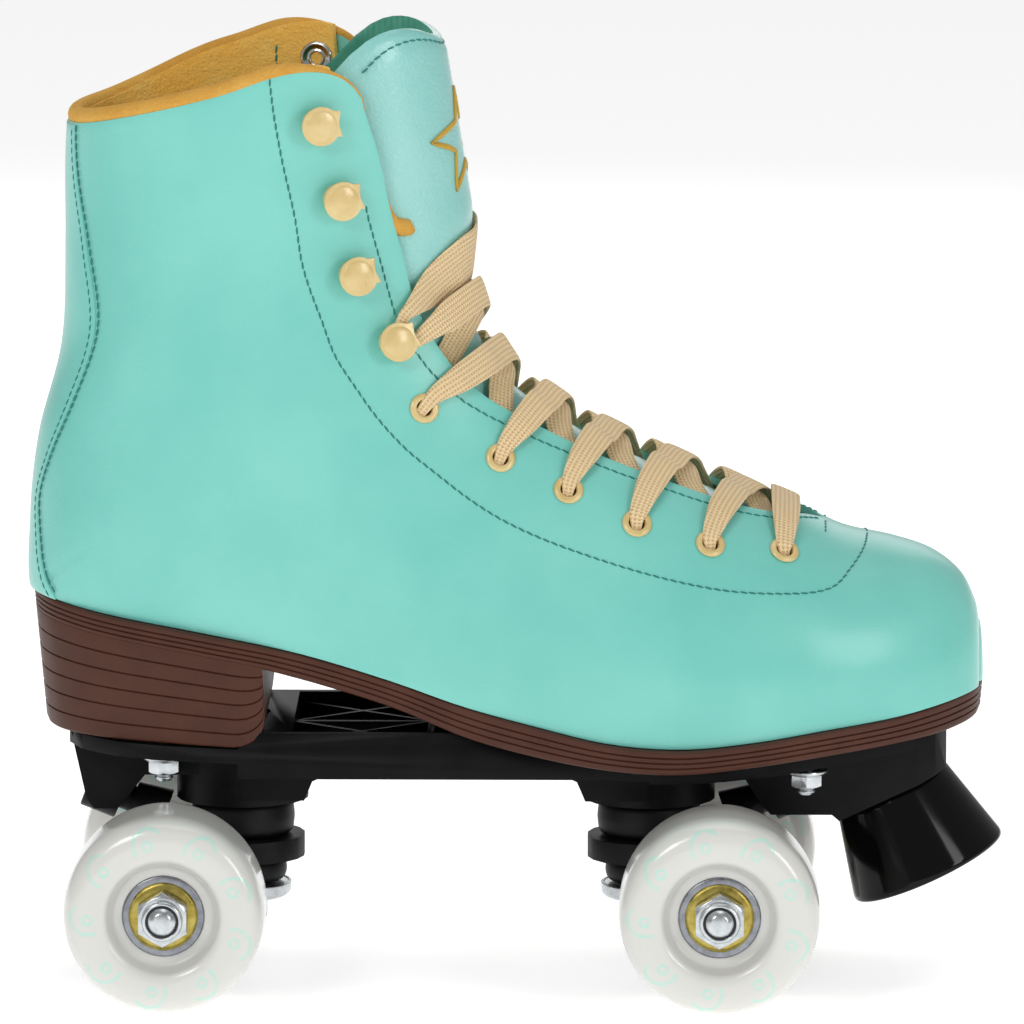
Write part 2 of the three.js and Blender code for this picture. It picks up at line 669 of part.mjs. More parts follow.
function channelRibs() {
  const ribTop = RAIL_Z[1] - 2.6;
  const start = railStartX + 3;
  const finish = frontKingpinX - BOSS_RADIUS - 3;
  const middle = (start + finish) / 2;
  const inner = PLATE_HALF_WIDTH - PLATE_WALL + 0.5;
  const low = RAIL_Z[0] + 1;
  const ribs = [
    block(start, finish, -0.9, 0.9, low, ribTop),
    block(middle - 0.9, middle + 0.9, -inner, inner, low, ribTop),
  ];
  for (const [from, to] of [[start, middle], [middle, finish]]) {
    for (const side of [-1, 1]) {
      for (const [y0, y1] of [[0, side * inner], [side * inner, 0]]) {
        const half = 0.9;
        const plan = [[from, y0 - half], [to, y1 - half], [to, y1 + half], [from, y0 + half]];
        ribs.push(upZ(plan, low, ribTop));
      }
    }
  }
  return joined(ribs);
}

// Kingpin boss with the shoulder that blends it into the rails.
function plateBoss(x, top, towardsMiddle) {
  const boss = post(x, 0, BOSS_BOTTOM_Z, top, BOSS_RADIUS, 24);
  const reach = towardsMiddle * (BOSS_RADIUS + 10);
  const shoulder = acrossY([
    [x, BOSS_BOTTOM_Z + 2], [x + reach * 0.62, BOSS_BOTTOM_Z + 2], [x + reach * 0.7, RAIL_Z[0] - 3.4],
    [x + reach, RAIL_Z[0] + 0.5], [x + reach, RAIL_Z[0] + 2.5], [x, RAIL_Z[0] + 2.5],
  ], -SPINE_HALF_WIDTH, SPINE_HALF_WIDTH);
  return boss.add(shoulder);
}

function rearHousing() {
  const x = rearKingpinX;
  const top = heelSeatZ(x) - GAP - 1;
  return acrossY([
    [x, top], [deckBackX + 0.5, heelSeatZ(deckBackX) - GAP - 1], [x - 42, 50.5], [x - 40, 47.6],
    [x - 33.5, 47.6], [x - 29.5, 52.5], [x - 26, 57], [x, 57],
  ], -SPINE_HALF_WIDTH + 4, SPINE_HALF_WIDTH - 4);
}

function frontHousing() {
  const x = frontKingpinX;
  const seatLow = stopTop.clone().addScaledVector(stopAxis, -GAP);
  const along = new THREE.Vector3(Math.cos(stopTilt), 0, Math.sin(stopTilt));
  const back = seatLow.clone().addScaledVector(along, -TOE_STOP_TOP_RADIUS + 0.5);
  const front = seatLow.clone().addScaledVector(along, TOE_STOP_TOP_RADIUS * 0.9 / Math.cos(stopTilt));
  const top = sampled(noseX, x, 10, (at) => deckTopZ(at) - 1);
  return acrossY([
    ...top, [x, 57], [x + 26, 57], [x + 30, 50.5], [x + 33, 47.2], [back.x - 2, 47.2], [back.x, back.z],
    [front.x, front.z], [noseX, front.z],
  ], -SPINE_HALF_WIDTH, SPINE_HALF_WIDTH);
}

function pivotHole(x, outward) {
  const mirror = new THREE.Vector3(outward, 1, 1);
  const offset = new THREE.Vector3(x, 0, 0);
  const from = pivotLine(0.6).multiply(mirror).add(offset);
  const to = pivotLine(1.1).multiply(mirror).add(offset);
  const radius = PIVOT_CUP_RADIUS + GAP;
  return bar(from, to, radius, radius, 16);
}

function kingpinBore(x, topZ) {
  const shaft = post(x, 0, 0, 90, KINGPIN_RADIUS + GAP, 16);
  return shaft.add(post(x, 0, topZ - 5.5 - GAP, 100, KINGPIN_HEAD_RADIUS + GAP, 16));
}

function boltPlaces() {
  const places = [];
  for (const [end, x] of [["rear", BOLT_X[0]], ["front", BOLT_X[1]]]) {
    for (const [sideName, side] of [["outer", -1], ["inner", 1]]) {
      places.push({ end, sideName, x, y: side * BOLT_HALF_SPACING[end] });
    }
  }
  return places;
}

function boltHole(place, radius) {
  return post(place.x, place.y, 40, 140, radius, 10);
}

function toeStopBolt(radius, from, to) {
  const start = stopTop.clone().addScaledVector(stopAxis, from);
  const finish = stopTop.clone().addScaledVector(stopAxis, to);
  return bar(start, finish, radius, radius, 16);
}

const STOP_BOLT_REACH = [-9, TOE_STOP_LENGTH - 9];

function plateBody() {
  const deck = acrossY(deckSide(), -60, 60).intersect(upZ(deckPlan(), 30, 110));
  const hollow = deck.subtract(channelPocket()).add(channelRibs());
  const housings = joined([
    plateBoss(rearKingpinX, heelSeatZ(rearKingpinX) - 2, 1),
    plateBoss(frontKingpinX, deckTopZ(frontKingpinX) - 2, -1),
    rearHousing(),
    frontHousing().intersect(upZ(deckPlan(), 30, 110)),
  ]);
  const whole = hollow.add(housings).subtract(aboveSoleUnderside(-GAP));
  const cuts = [
    pivotHole(rearKingpinX, -1), pivotHole(frontKingpinX, 1),
    kingpinBore(rearKingpinX, kingpinTopZ(rearKingpinX)),
    kingpinBore(frontKingpinX, kingpinTopZ(frontKingpinX)),
    toeStopBolt(TOE_STOP_BOLT_RADIUS + GAP, STOP_BOLT_REACH[0] - GAP, 10),
    ...boltPlaces().map((place) => boltHole(place, BOLT_RADIUS + GAP)),
  ];
  return whole.subtract(joined(cuts));
}

// ---------------------------------------------------------------- toe stop

function toeStopBody() {
  const length = TOE_STOP_LENGTH;
  const profile = [
    [0, 0], [TOE_STOP_TOP_RADIUS - 0.6, 0], [TOE_STOP_TOP_RADIUS, 0.8],
    [TOE_STOP_FACE_RADIUS, length - 3.5], [TOE_STOP_FACE_RADIUS - 1, length - 1],
    [TOE_STOP_FACE_RADIUS - 3.2, length], [0, length],
  ];
  const points = profile.map(([r, h]) => new THREE.Vector2(r, h));
  const geometry = new THREE.LatheGeometry(points, 28);
  const turn = new THREE.Quaternion();
  turn.setFromUnitVectors(new THREE.Vector3(0, 1, 0), stopAxis);
  geometry.applyQuaternion(turn).translate(stopTop.x, stopTop.y, stopTop.z);
  const bore = toeStopBolt(TOE_STOP_BOLT_RADIUS + GAP, -2, STOP_BOLT_REACH[1] + GAP);
  return solid(geometry).subtract(bore);
}

// ---------------------------------------------------------------- boot pieces

// The sole's underside in side view from the toe to the back of the heel, moved up by lift.
function soleUnderside(lift) {
  const breast = HEEL_BREAST_X * soleScale;
  const end = 140 * soleScale;
  const seat = (x, rise) => [x, heelSeatZ(x) + rise + lift];
  return [
    ...sampled(end, breast + 4, 24, (x) => soleBottomZ(x) + lift),
    [breast, soleBottomZ(breast + 4) - 2.5 + lift], seat(breast, 7), seat(breast - 2, 2.5),
    seat(breast - 7, 0), seat(-end, 0),
  ];
}

function soleTopLine(lift) {
  return sampled(-140 * soleScale, 140 * soleScale, 28, (x) => soleTopZ(x) + lift);
}

function aboveSoleUnderside(lift) {
  const end = 140 * soleScale;
  return acrossY([[-end, 200], [end, 200], ...soleUnderside(lift)], -80, 80);
}

function soleBody() {
  const back = SOLE_HALF_WIDTH[0][0];
  const length = SOLE_HALF_WIDTH[SOLE_HALF_WIDTH.length - 1][0] - back;
  const half = sampled(0, Math.PI, 26, (turn) => turn).map(([turn]) => {
    const x = back + length * (1 - Math.cos(turn)) / 2;
    return [x, through(SOLE_HALF_WIDTH, x)];
  });
  const outline = [...half, ...half.slice(1, -1).map(([x, y]) => [x, -y]).reverse()];
  const ringAt = (rise) => outline.map(([x, y]) => {
    const px = x * soleScale * (1 + rise * SOLE_DRAFT / 130);
    const py = y * (1 + rise * SOLE_DRAFT / 40) + toeShift(x);
    return new THREE.Vector3(px, py, soleTopZ(x * soleScale) + rise);
  });
  const side = acrossY([...soleTopLine(0), ...soleUnderside(0)], -80, 80);
  const body = side.intersect(loft([ringAt(-60), ringAt(30)]));
  return body.subtract(joined(boltPlaces().map((place) => boltHole(place, BOLT_RADIUS + GAP))));
}

function eyeletPlaces() {
  const places = [];
  for (const [place, setback] of EYELETS) {
    for (const side of [-1, 1]) places.push({ place, y: side * (throatHalfWidth(place) + setback) });
  }
  return places;
}

function eyeletHole({ place, y }) {
  const outside = bootPointAcross(place, y, -4);
  const inside = bootPointAcross(place, y, 8);
  return bar(outside, inside, EYELET_HOLE_RADIUS, EYELET_HOLE_RADIUS, 8);
}

function upperBody() {
  const outer = bootBody(0).subtract(belowSoleTop(GAP));
  const inner = bootBody(UPPER_WALL).subtract(belowSoleTop(GAP + UPPER_WALL));
  const throat = throatWedge(throatHalfWidth, 0.36);
  const holes = joined([
    ...eyeletPlaces().map(eyeletHole),
    ...boltPlaces().map((place) => boltHole(place, BOLT_RADIUS + GAP)),
  ]);
  return outer.subtract(inner).subtract(throat).subtract(aboveLine(COLLAR, 0)).subtract(holes);
}

const liningInset = UPPER_WALL + GAP;
const innerInset = liningInset + LINING_WALL;
const tongueInset = innerInset + 4 * GAP;

function liningBody() {
  const outer = bootBody(liningInset).subtract(belowSoleTop(GAP * 2 + UPPER_WALL));
  const inner = bootBody(innerInset).subtract(belowSoleTop(GAP * 2 + UPPER_WALL + LINING_WALL));
  const gap = throatWedge((place) => throatHalfWidth(place) + through(LINING_SETBACK, place), 0.36);
  const heads = joined(boltPlaces().map((place) => boltHole(place, BOLT_HEAD_RADIUS + 2 * GAP)));
  return outer.subtract(inner).subtract(gap).subtract(aboveLine(COLLAR, COLLAR_RIM)).subtract(heads);
}

function tongueBody() {
  const outer = bootBody(tongueInset);
  const inner = bootBody(tongueInset + TONGUE_THICKNESS);
  const band = outer.subtract(inner).intersect(throatWedge(tongueHalfWidth, 0.3));
  return band.subtract(aboveLine(TONGUE_TOP, 0));
}

function footbedBody() {
  const bottom = GAP * 3 + UPPER_WALL + LINING_WALL;
  const body = bootBody(innerInset + GAP * 2).subtract(belowSoleTop(bottom));
  const slab = belowSoleTop(bottom + FOOTBED_THICKNESS).intersect(body);
  const heads = joined(boltPlaces().map((place) => {
    return post(place.x, place.y, 60, boltHeadZ(place) + 1.6 + GAP * 2, BOLT_HEAD_RADIUS + 2 * GAP, 12);
  }));
  return slab.subtract(heads);
}

// ---------------------------------------------------------------- lace

// A route sampled at its own points, so that every bend is kept.
class RouteCurve extends THREE.CatmullRomCurve3 {
  getUtoTmapping(u) {
    return u;
  }
}

const laceClearance = LACE_RADIUS + LACE_CLEARANCE;
const laceOver = -laceClearance - 0.8;
const laceUnder = UPPER_WALL + laceClearance + 0.3;
const laceLow = tongueInset - laceClearance - 0.2;
const laceHigh = laceLow - 2 * LACE_RADIUS - 2 * GAP;

function eyeletAt(k) {
  const [place, setback] = EYELETS[k];
  return [place, throatHalfWidth(place) + setback];
}

// Over the throat edge, along the outside of the eyestay and down through an eyelet.
function intoEyelet(fromPlace, place, y, side) {
  const step = (place - fromPlace) * 0.25;
  const edge = throatHalfWidth(place - step);
  return [
    bootPointAcross(place - step * 1.3, side * (edge - 2.5), laceOver + 1),
    bootPointAcross(place - step, side * (edge + 1), laceOver - 0.3),
    bootPointAcross(place - step * 0.4, side * (y - 4.5), laceOver - 0.6),
    bootPointAcross(place, side * (y - 0.2), laceOver + 0.5),
    bootPointAcross(place, side * y, 0.8),
    bootPointAcross(place, side * (y - 0.2), laceUnder),
  ];
}

// From under one eyelet to the next higher one on the other side.
function crossing(k, side) {
  const [place, y] = eyeletAt(k);
  const [nextPlace, nextY] = eyeletAt(k + 1);
  const rise = nextPlace - place;
  return [...outFromUnder(place, y, rise, side), ...intoEyelet(place, nextPlace, nextY, -side)];
}

// Out from under the eyestay and over the tongue; strands bound for the outer side pass on top.
function outFromUnder(place, y, rise, side) {
  const edge = throatHalfWidth(place + rise * 0.2);
  const middle = side > 0 ? laceHigh : laceLow;
  const over = [0.55, 0.25, 0, -0.25, -0.55].map((share) => {
    return bootPointAcross(place + rise * (0.5 - 0.4 * share), side * edge * share, middle);
  });
  return [
    bootPointAcross(place + rise * 0.06, side * Math.max(y - 4, edge + 1), laceUnder),
    bootPointAcross(place + rise * 0.18, side * (edge - 1), laceUnder),
    ...over,
  ];
}

// From under the top eyelet to the first hook, round its post and back to the throat edge.
function roundHook(side) {
  const [place, y] = eyeletAt(EYELETS.length - 1);
  const [hookPlace, setback] = HOOK;
  const hookY = throatHalfWidth(hookPlace) + setback;
  const rise = hookPlace - place;
  const turnRadius = HOOK_POST_RADIUS + laceClearance;
  const centre = bootPointAcross(hookPlace, side * -hookY, laceOver);
  const up = bootPointAcross(hookPlace + 0.5, side * -hookY, laceOver).sub(centre).normalize();
  const inwards = bootPointAcross(hookPlace, side * -(hookY - 4), laceOver).sub(centre).normalize();
  const round = [-110, -155, -200, -245].map((degrees) => {
    const angle = THREE.MathUtils.degToRad(degrees);
    return centre.clone().addScaledVector(inwards, Math.cos(angle) * turnRadius)
      .addScaledVector(up, Math.sin(angle) * turnRadius);
  });
  return [
    ...outFromUnder(place, y, rise, side),
    bootPointAcross(place + rise * 0.66, side * -(throatHalfWidth(place + rise * 0.66) - 3), laceOver + 1),
    bootPointAcross(place + rise * 0.72, side * -(throatHalfWidth(place + rise * 0.7) + 1.5), laceOver),
    ...round,
    bootPointAcross(hookPlace + 0.35, side * -(throatHalfWidth(hookPlace) + 3), laceOver),
  ];
}

// Both free ends are tucked under the inner flap, one above the other.
function tuckedEnd(place, y, direction) {
  return [
    bootPointAcross(place, y - 6.5, laceOver + 1.4),
    bootPointAcross(place + direction * 0.05, y - 6.5, laceUnder + 0.2),
    bootPointAcross(place + direction * 0.25, y, laceUnder),
    bootPointAcross(place + direction * 0.6, y, laceUnder),
    bootPointAcross(place + direction, y, laceUnder),
  ];
}

function laceRoute() {
  const [place, y] = eyeletAt(0);
  const halves = [-1, 1].map((side) => {
    const points = intoEyelet(place, place, y, side);
    let from = side;
    for (let k = 0; k + 1 < EYELETS.length; k += 1) {
      points.push(...crossing(k, from));
      from = -from;
    }
    points.push(...roundHook(from));
    return points;
  });
  const outerHook = halves[0];
  const innerHook = halves[1];
  const highTuck = HOOK[0] + 2.1;
  outerHook.push(
    bootPointAcross(HOOK[0] + 0.65, -throatHalfWidth(HOOK[0]) + 6, laceHigh - 1),
    bootPointAcross(HOOK[0] + 1.25, 0, laceHigh - 1),
    bootPointAcross(HOOK[0] + 1.8, throatHalfWidth(highTuck) - 8, laceHigh),
    ...tuckedEnd(highTuck, throatHalfWidth(highTuck) + 4, -1).slice(1),
  );
  const lowTuck = HOOK[0] + 0.5;
  innerHook.push(...tuckedEnd(lowTuck, throatHalfWidth(lowTuck) + 4, -1));
  return [...innerHook.reverse(), bootPointAcross(place, 0, laceOver + 1), ...outerHook];
}

function laceBody() {
  const route = laceRoute();
  const section = new THREE.Shape();
  for (let i = 0; i < 6; i += 1) {
    const angle = Math.PI * i / 3;
    const corner = [Math.cos(angle) * LACE_RADIUS, Math.sin(angle) * LACE_RADIUS];
    if (i === 0) section.moveTo(...corner);
    else section.lineTo(...corner);
  }
  section.closePath();
  const extrudePath = new RouteCurve(route, false, "centripetal");
  return solid(new THREE.ExtrudeGeometry(section, { steps: route.length - 1, extrudePath }));
}

// ---------------------------------------------------------------- mounting bolts

function boltHeadZ(place) {
  return soleTopZ(place.x) + GAP + UPPER_WALL + BOLT_HEAD_CLEARANCE;
}

function flangeBottomZ(x) {
  const top = x < railStartX ? heelSeatZ(x) : deckTopZ(x) + GAP;
  return top - GAP - FLANGE_THICKNESS;
}

function addBolt(place) {
  const bottom = flangeBottomZ(place.x);
  const head = boltHeadZ(place);
  const bolt = turnedUp([
    [0, bottom - 7.6], [BOLT_RADIUS, bottom - 7.6], [BOLT_RADIUS, head], [BOLT_HEAD_RADIUS, head],
    [BOLT_HEAD_RADIUS - 0.8, head + 1.6], [0, head + 1.6],
  ], 12, place.x, place.y);
  addPiece(`deck_bolt_${place.end}_${place.sideName}`, bolt, "zinc");
  const top = bottom - BOLT_NUT_CLEARANCE;
  const nut = nutBody(place.x, place.y, BOLT_NUT_FLATS, top - 4.6, top, BOLT_RADIUS + GAP);
  const flange = post(place.x, place.y, top - 1.2, top, BOLT_NUT_FLATS / 2 + 1.8, 12);
  const bore = post(place.x, place.y, top - 6, top + 1, BOLT_RADIUS + GAP, 10);
  addPiece(`deck_nut_${place.end}_${place.sideName}`, nut.add(flange.subtract(bore)), "zinc");
}

// ---------------------------------------------------------------- assembly

addPiece("sole_plate", plateBody(), "nylon");
addPiece("toe_stop", toeStopBody(), "rubber");
addPiece("toe_stop_bolt", toeStopBolt(TOE_STOP_BOLT_RADIUS, ...STOP_BOLT_REACH), "zinc");
addPiece("sole_unit", soleBody(), "sole");
addPiece("boot_upper", upperBody(), "upper");
addPiece("boot_lining", liningBody(), "lining");
addPiece("tongue", tongueBody(), "upper");
addPiece("footbed", footbedBody(), "lining");
addPiece("lace", laceBody(), "lace");
for (const place of boltPlaces()) addBolt(place);

addTruck("rear", rearKingpinX, -1, kingpinTopZ(rearKingpinX));
addTruck("front", frontKingpinX, 1, kingpinTopZ(frontKingpinX));
for (const [end, axleX] of [["rear", REAR_AXLE_X], ["front", frontAxleX]]) {
  addWheel(end, "outer", -1, axleX);
  addWheel(end, "inner", 1, axleX);
}

// ---------------------------------------------------------------- stand it on the floor

const box = new THREE.Box3().setFromObject(skate, true);
const middle = box.getCenter(new THREE.Vector3());
skate.position.set(-middle.x, -middle.y, -box.min.z);
skate.updateMatrixWorld(true);

export default skate;
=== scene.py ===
"""Looks of a quad roller skate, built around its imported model: boot, laces, sole, plate, trucks and wheels."""
import math
from contextlib import contextmanager
from functools import lru_cache

import bmesh
import bpy
import numpy as np
from mathutils import Matrix, Vector


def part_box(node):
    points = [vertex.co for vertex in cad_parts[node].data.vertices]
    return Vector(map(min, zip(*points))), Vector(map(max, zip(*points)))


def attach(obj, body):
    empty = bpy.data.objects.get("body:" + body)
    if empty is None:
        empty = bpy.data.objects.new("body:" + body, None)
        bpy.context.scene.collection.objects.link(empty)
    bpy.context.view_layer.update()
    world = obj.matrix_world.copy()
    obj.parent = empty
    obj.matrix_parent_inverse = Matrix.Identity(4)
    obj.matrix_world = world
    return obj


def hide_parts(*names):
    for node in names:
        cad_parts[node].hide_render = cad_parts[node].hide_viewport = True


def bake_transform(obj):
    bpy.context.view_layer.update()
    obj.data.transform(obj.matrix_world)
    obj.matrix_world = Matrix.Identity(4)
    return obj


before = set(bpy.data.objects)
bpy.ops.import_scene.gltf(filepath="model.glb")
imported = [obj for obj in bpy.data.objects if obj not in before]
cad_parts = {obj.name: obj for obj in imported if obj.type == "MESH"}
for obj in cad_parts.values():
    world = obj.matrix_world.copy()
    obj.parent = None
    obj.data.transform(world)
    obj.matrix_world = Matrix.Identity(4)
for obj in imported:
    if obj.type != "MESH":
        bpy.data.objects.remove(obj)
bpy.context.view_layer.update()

MM = 0.001
GAP = 0.3


def middle_of(node):
    low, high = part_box(node)
    return (low + high) / 2


# ---------------------------------------------------------------- camera, light and floor

CAMERA_AZIMUTH = math.radians(0.9)
CAMERA_ELEVATION = math.radians(9.4)
CAMERA_DISTANCE = 2.711
CAMERA_TARGET = Vector((-0.0002, 0, 0.1273))
LENS = 350.6


def add_camera():
    across = math.cos(CAMERA_ELEVATION)
    away = Vector((
        math.sin(CAMERA_AZIMUTH) * across, -math.cos(CAMERA_AZIMUTH) * across, math.sin(CAMERA_ELEVATION),
    ))
    data = bpy.data.cameras.new("camera")
    data.lens = LENS
    data.clip_end = 20
    camera = bpy.data.objects.new("camera", data)
    camera.location = CAMERA_TARGET + away * CAMERA_DISTANCE
    camera.rotation_euler = (-away).to_track_quat("-Z", "Y").to_euler()
    bpy.context.scene.collection.objects.link(camera)
    bpy.context.scene.camera = camera


BOOT_MIDDLE = Vector((0, 0, 0.13))
# [name, place, width, height over width, watts]
SOFTBOXES = [
    ["key_left", (-0.75, -1.2, 0.95), 0.5, 1, 6.2],
    ["fill_right", (0.95, -1.0, 0.55), 0.35, 1.6, 4],
    ["top", (0.1, 0.1, 1.5), 0.9, 1, 3.6],
    ["back", (0.2, 1.3, 0.8), 0.9, 1, 3.2],
]
SKY_STRENGTH = 0.34
WHITE = (1, 1, 1, 1)


def add_studio():
    """Four softboxes and a dim white sky, with a full white one behind for the camera alone."""
    for name, place, width, ratio, power in SOFTBOXES:
        data = bpy.data.lights.new(name, "AREA")
        data.shape = "RECTANGLE"
        data.size = width
        data.size_y = width * ratio
        data.energy = power
        light = bpy.data.objects.new(name, data)
        light.location = place
        light.rotation_euler = (BOOT_MIDDLE - Vector(place)).to_track_quat("-Z", "Y").to_euler()
        bpy.context.scene.collection.objects.link(light)
    world = bpy.data.worlds.new("studio")
    world.use_nodes = True
    world.node_tree.nodes.clear()
    sky = put(world, "ShaderNodeBackground", {"Color": WHITE, "Strength": SKY_STRENGTH})
    backdrop = put(world, "ShaderNodeBackground", {"Color": WHITE, "Strength": 1.0})
    seen = put(world, "ShaderNodeLightPath")
    either = put(world, "ShaderNodeMixShader", links={
        0: seen.outputs["Is Camera Ray"], 1: sky.outputs[0], 2: backdrop.outputs[0],
    })
    put(world, "ShaderNodeOutputWorld", links={"Surface": either.outputs[0]})
    bpy.context.scene.world = world
    bpy.context.scene.view_settings.view_transform = "Standard"


# ---------------------------------------------------------------- materials

def linear(hex_colour):
    """An sRGB hex colour as linear red, green, blue and 1."""
    channels = [int(hex_colour[i:i + 2], 16) / 255 for i in (1, 3, 5)]
    return tuple(c / 12.92 if c < 0.04045 else ((c + 0.055) / 1.055) ** 2.4 for c in channels) + (1.0,)


def put(owner, kind, settings=None, links=None):
    """Adds a shader node. Settings name its options or sockets, and links name its sockets' sources."""
    made = owner.node_tree.nodes.new(kind)
    for name, value in (settings or {}).items():
        if isinstance(name, str) and hasattr(made, name):
            setattr(made, name, value)
        else:
            made.inputs[name].default_value = value
    for name, source in (links or {}).items():
        owner.node_tree.links.new(source, made.inputs[name])
    return made


def new_material(name, shader):
    """A material with its one shader, whose settings are all its own sockets."""
    material = bpy.data.materials.new(name)
    material.use_nodes = True
    material.node_tree.nodes.clear()
    surface = put(material, "ShaderNodeBsdfPrincipled", shader)
    put(material, "ShaderNodeOutputMaterial", links={"Surface": surface.outputs["BSDF"]})
    return material, surface


def connect(material, source, surface, socket):
    material.node_tree.links.new(source, surface.inputs[socket])


def object_place(material):
    """Where a point is on the piece, in metres."""
    return put(material, "ShaderNodeTexCoord").outputs["Object"]


def per_metre(size_mm):
    """The scale at which a pattern with a period of 1 repeats every size_mm."""
    return 1 / (size_mm * MM)


def mottled(material, surface, place, colours, patch_mm, roughness, detail=3):
    """Slow changes of colour and gloss over the surface, as on any worked material."""
    patches = put(material, "ShaderNodeTexNoise", {"Scale": per_metre(patch_mm), "Detail": detail}, {"Vector": place})
    ramp = put(material, "ShaderNodeValToRGB", links={"Fac": patches.outputs["Fac"]})
    ramp.color_ramp.elements[0].position = 0.32
    ramp.color_ramp.elements[1].position = 0.68
    ramp.color_ramp.elements[0].color = linear(colours[0])
    ramp.color_ramp.elements[1].color = linear(colours[1])
    connect(material, ramp.outputs["Color"], surface, "Base Color")
    gloss = put(material, "ShaderNodeMapRange", {"To Min": roughness[0], "To Max": roughness[1]},
                {"Value": patches.outputs["Fac"]})
    connect(material, gloss.outputs[0], surface, "Roughness")


def relief(material, surface, heights, depth_mm):
    """Bump from one or more (source, share) heights."""
    total = None
    for source, share in heights:
        part = put(material, "ShaderNodeMath", {"operation": "MULTIPLY", 1: share}, {0: source}).outputs[0]
        if total is None:
            total = part
        else:
            total = put(material, "ShaderNodeMath", {"operation": "ADD"}, {0: total, 1: part}).outputs[0]
    bump = put(material, "ShaderNodeBump", {"Strength": 1.0, "Distance": depth_mm * MM}, {"Height": total})
    connect(material, bump.outputs["Normal"], surface, "Normal")


def coated_leather(name, colours, roughness, grain_mm, depth_mm, coat):
    # Polyurethane-coated synthetic leather: a satin film over fine pressed pores and soft creases.
    material, surface = new_material(name, {
        "IOR": 1.48, "Coat Weight": coat, "Coat Roughness": 0.22, "Sheen Weight": 0.12, "Sheen Roughness": 0.4,
    })
    place = object_place(material)
    mottled(material, surface, place, colours, 38, roughness)
    pores = put(material, "ShaderNodeTexVoronoi", {"Scale": per_metre(grain_mm)}, {"Vector": place})
    creases = put(material, "ShaderNodeTexNoise", {"Scale": per_metre(7), "Detail": 4, "Roughness": 0.6},
                  {"Vector": place})
    relief(material, surface, [(pores.outputs["Distance"], 1), (creases.outputs["Fac"], 3.2)], depth_mm)
    return material


def brushed_fleece(name, colours):
    # Brushed polyester fleece: no gloss, a soft bright edge, and a nap of short fibres.
    material, surface = new_material(name, {
        "Sheen Weight": 0.55, "Sheen Roughness": 0.5, "Specular IOR Level": 0.15,
        "Sheen Tint": linear("#F2C878"),
    })
    place = object_place(material)
    mottled(material, surface, place, colours, 9, (0.9, 1.0), 6)
    nap = put(material, "ShaderNodeTexNoise", {"Scale": per_metre(0.7), "Detail": 4}, {"Vector": place})
    tufts = put(material, "ShaderNodeTexNoise", {"Scale": per_metre(2.4), "Detail": 2}, {"Vector": place})
    relief(material, surface, [(nap.outputs["Fac"], 1), (tufts.outputs["Fac"], 1)], 0.5)
    return material


def rib_knit(name, colours):
    # Knitted polyester lining: ribs 1.6 mm apart, drawn as deep as they need to show.
    material, surface = new_material(name, {"Specular IOR Level": 0.2, "Sheen Weight": 0.3})
    place = object_place(material)
    mottled(material, surface, place, colours, 6, (0.8, 0.95))
    ribs = put(material, "ShaderNodeTexWave", {"Scale": per_metre(1.6) * 2 * math.pi / 20, "Distortion": 1.2},
               {"Vector": place})
    relief(material, surface, [(ribs.outputs["Fac"], 1)], 0.25)
    return material


def moulded(name, colours, roughness, patch_mm=4, grain_mm=0.6, depth_mm=0.03, coat=0.0, level=0.5):
    # An injection-moulded or cast polymer: even colour, faint flow marks and a very fine skin texture.
    material, surface = new_material(name, {
        "Coat Weight": coat, "Coat Roughness": 0.08, "Specular IOR Level": level,
    })
    place = object_place(material)
    mottled(material, surface, place, colours, patch_mm, roughness)
    skin = put(material, "ShaderNodeTexNoise", {"Scale": per_metre(grain_mm), "Detail": 3}, {"Vector": place})
    relief(material, surface, [(skin.outputs["Fac"], 1)], depth_mm)
    return material


def metal(name, colours, roughness):
    # Plated or ground metal: bright, with small uneven patches in its gloss.
    material, surface = new_material(name, {"Metallic": 1.0})
    place = object_place(material)
    mottled(material, surface, place, colours, 2.5, roughness, 5)
    marks = put(material, "ShaderNodeTexNoise", {"Scale": per_metre(0.5), "Detail": 4}, {"Vector": place})
    relief(material, surface, [(marks.outputs["Fac"], 1)], 0.01)
    return material


RIB_SPACING = 1.3
PICK_SPACING = 0.95


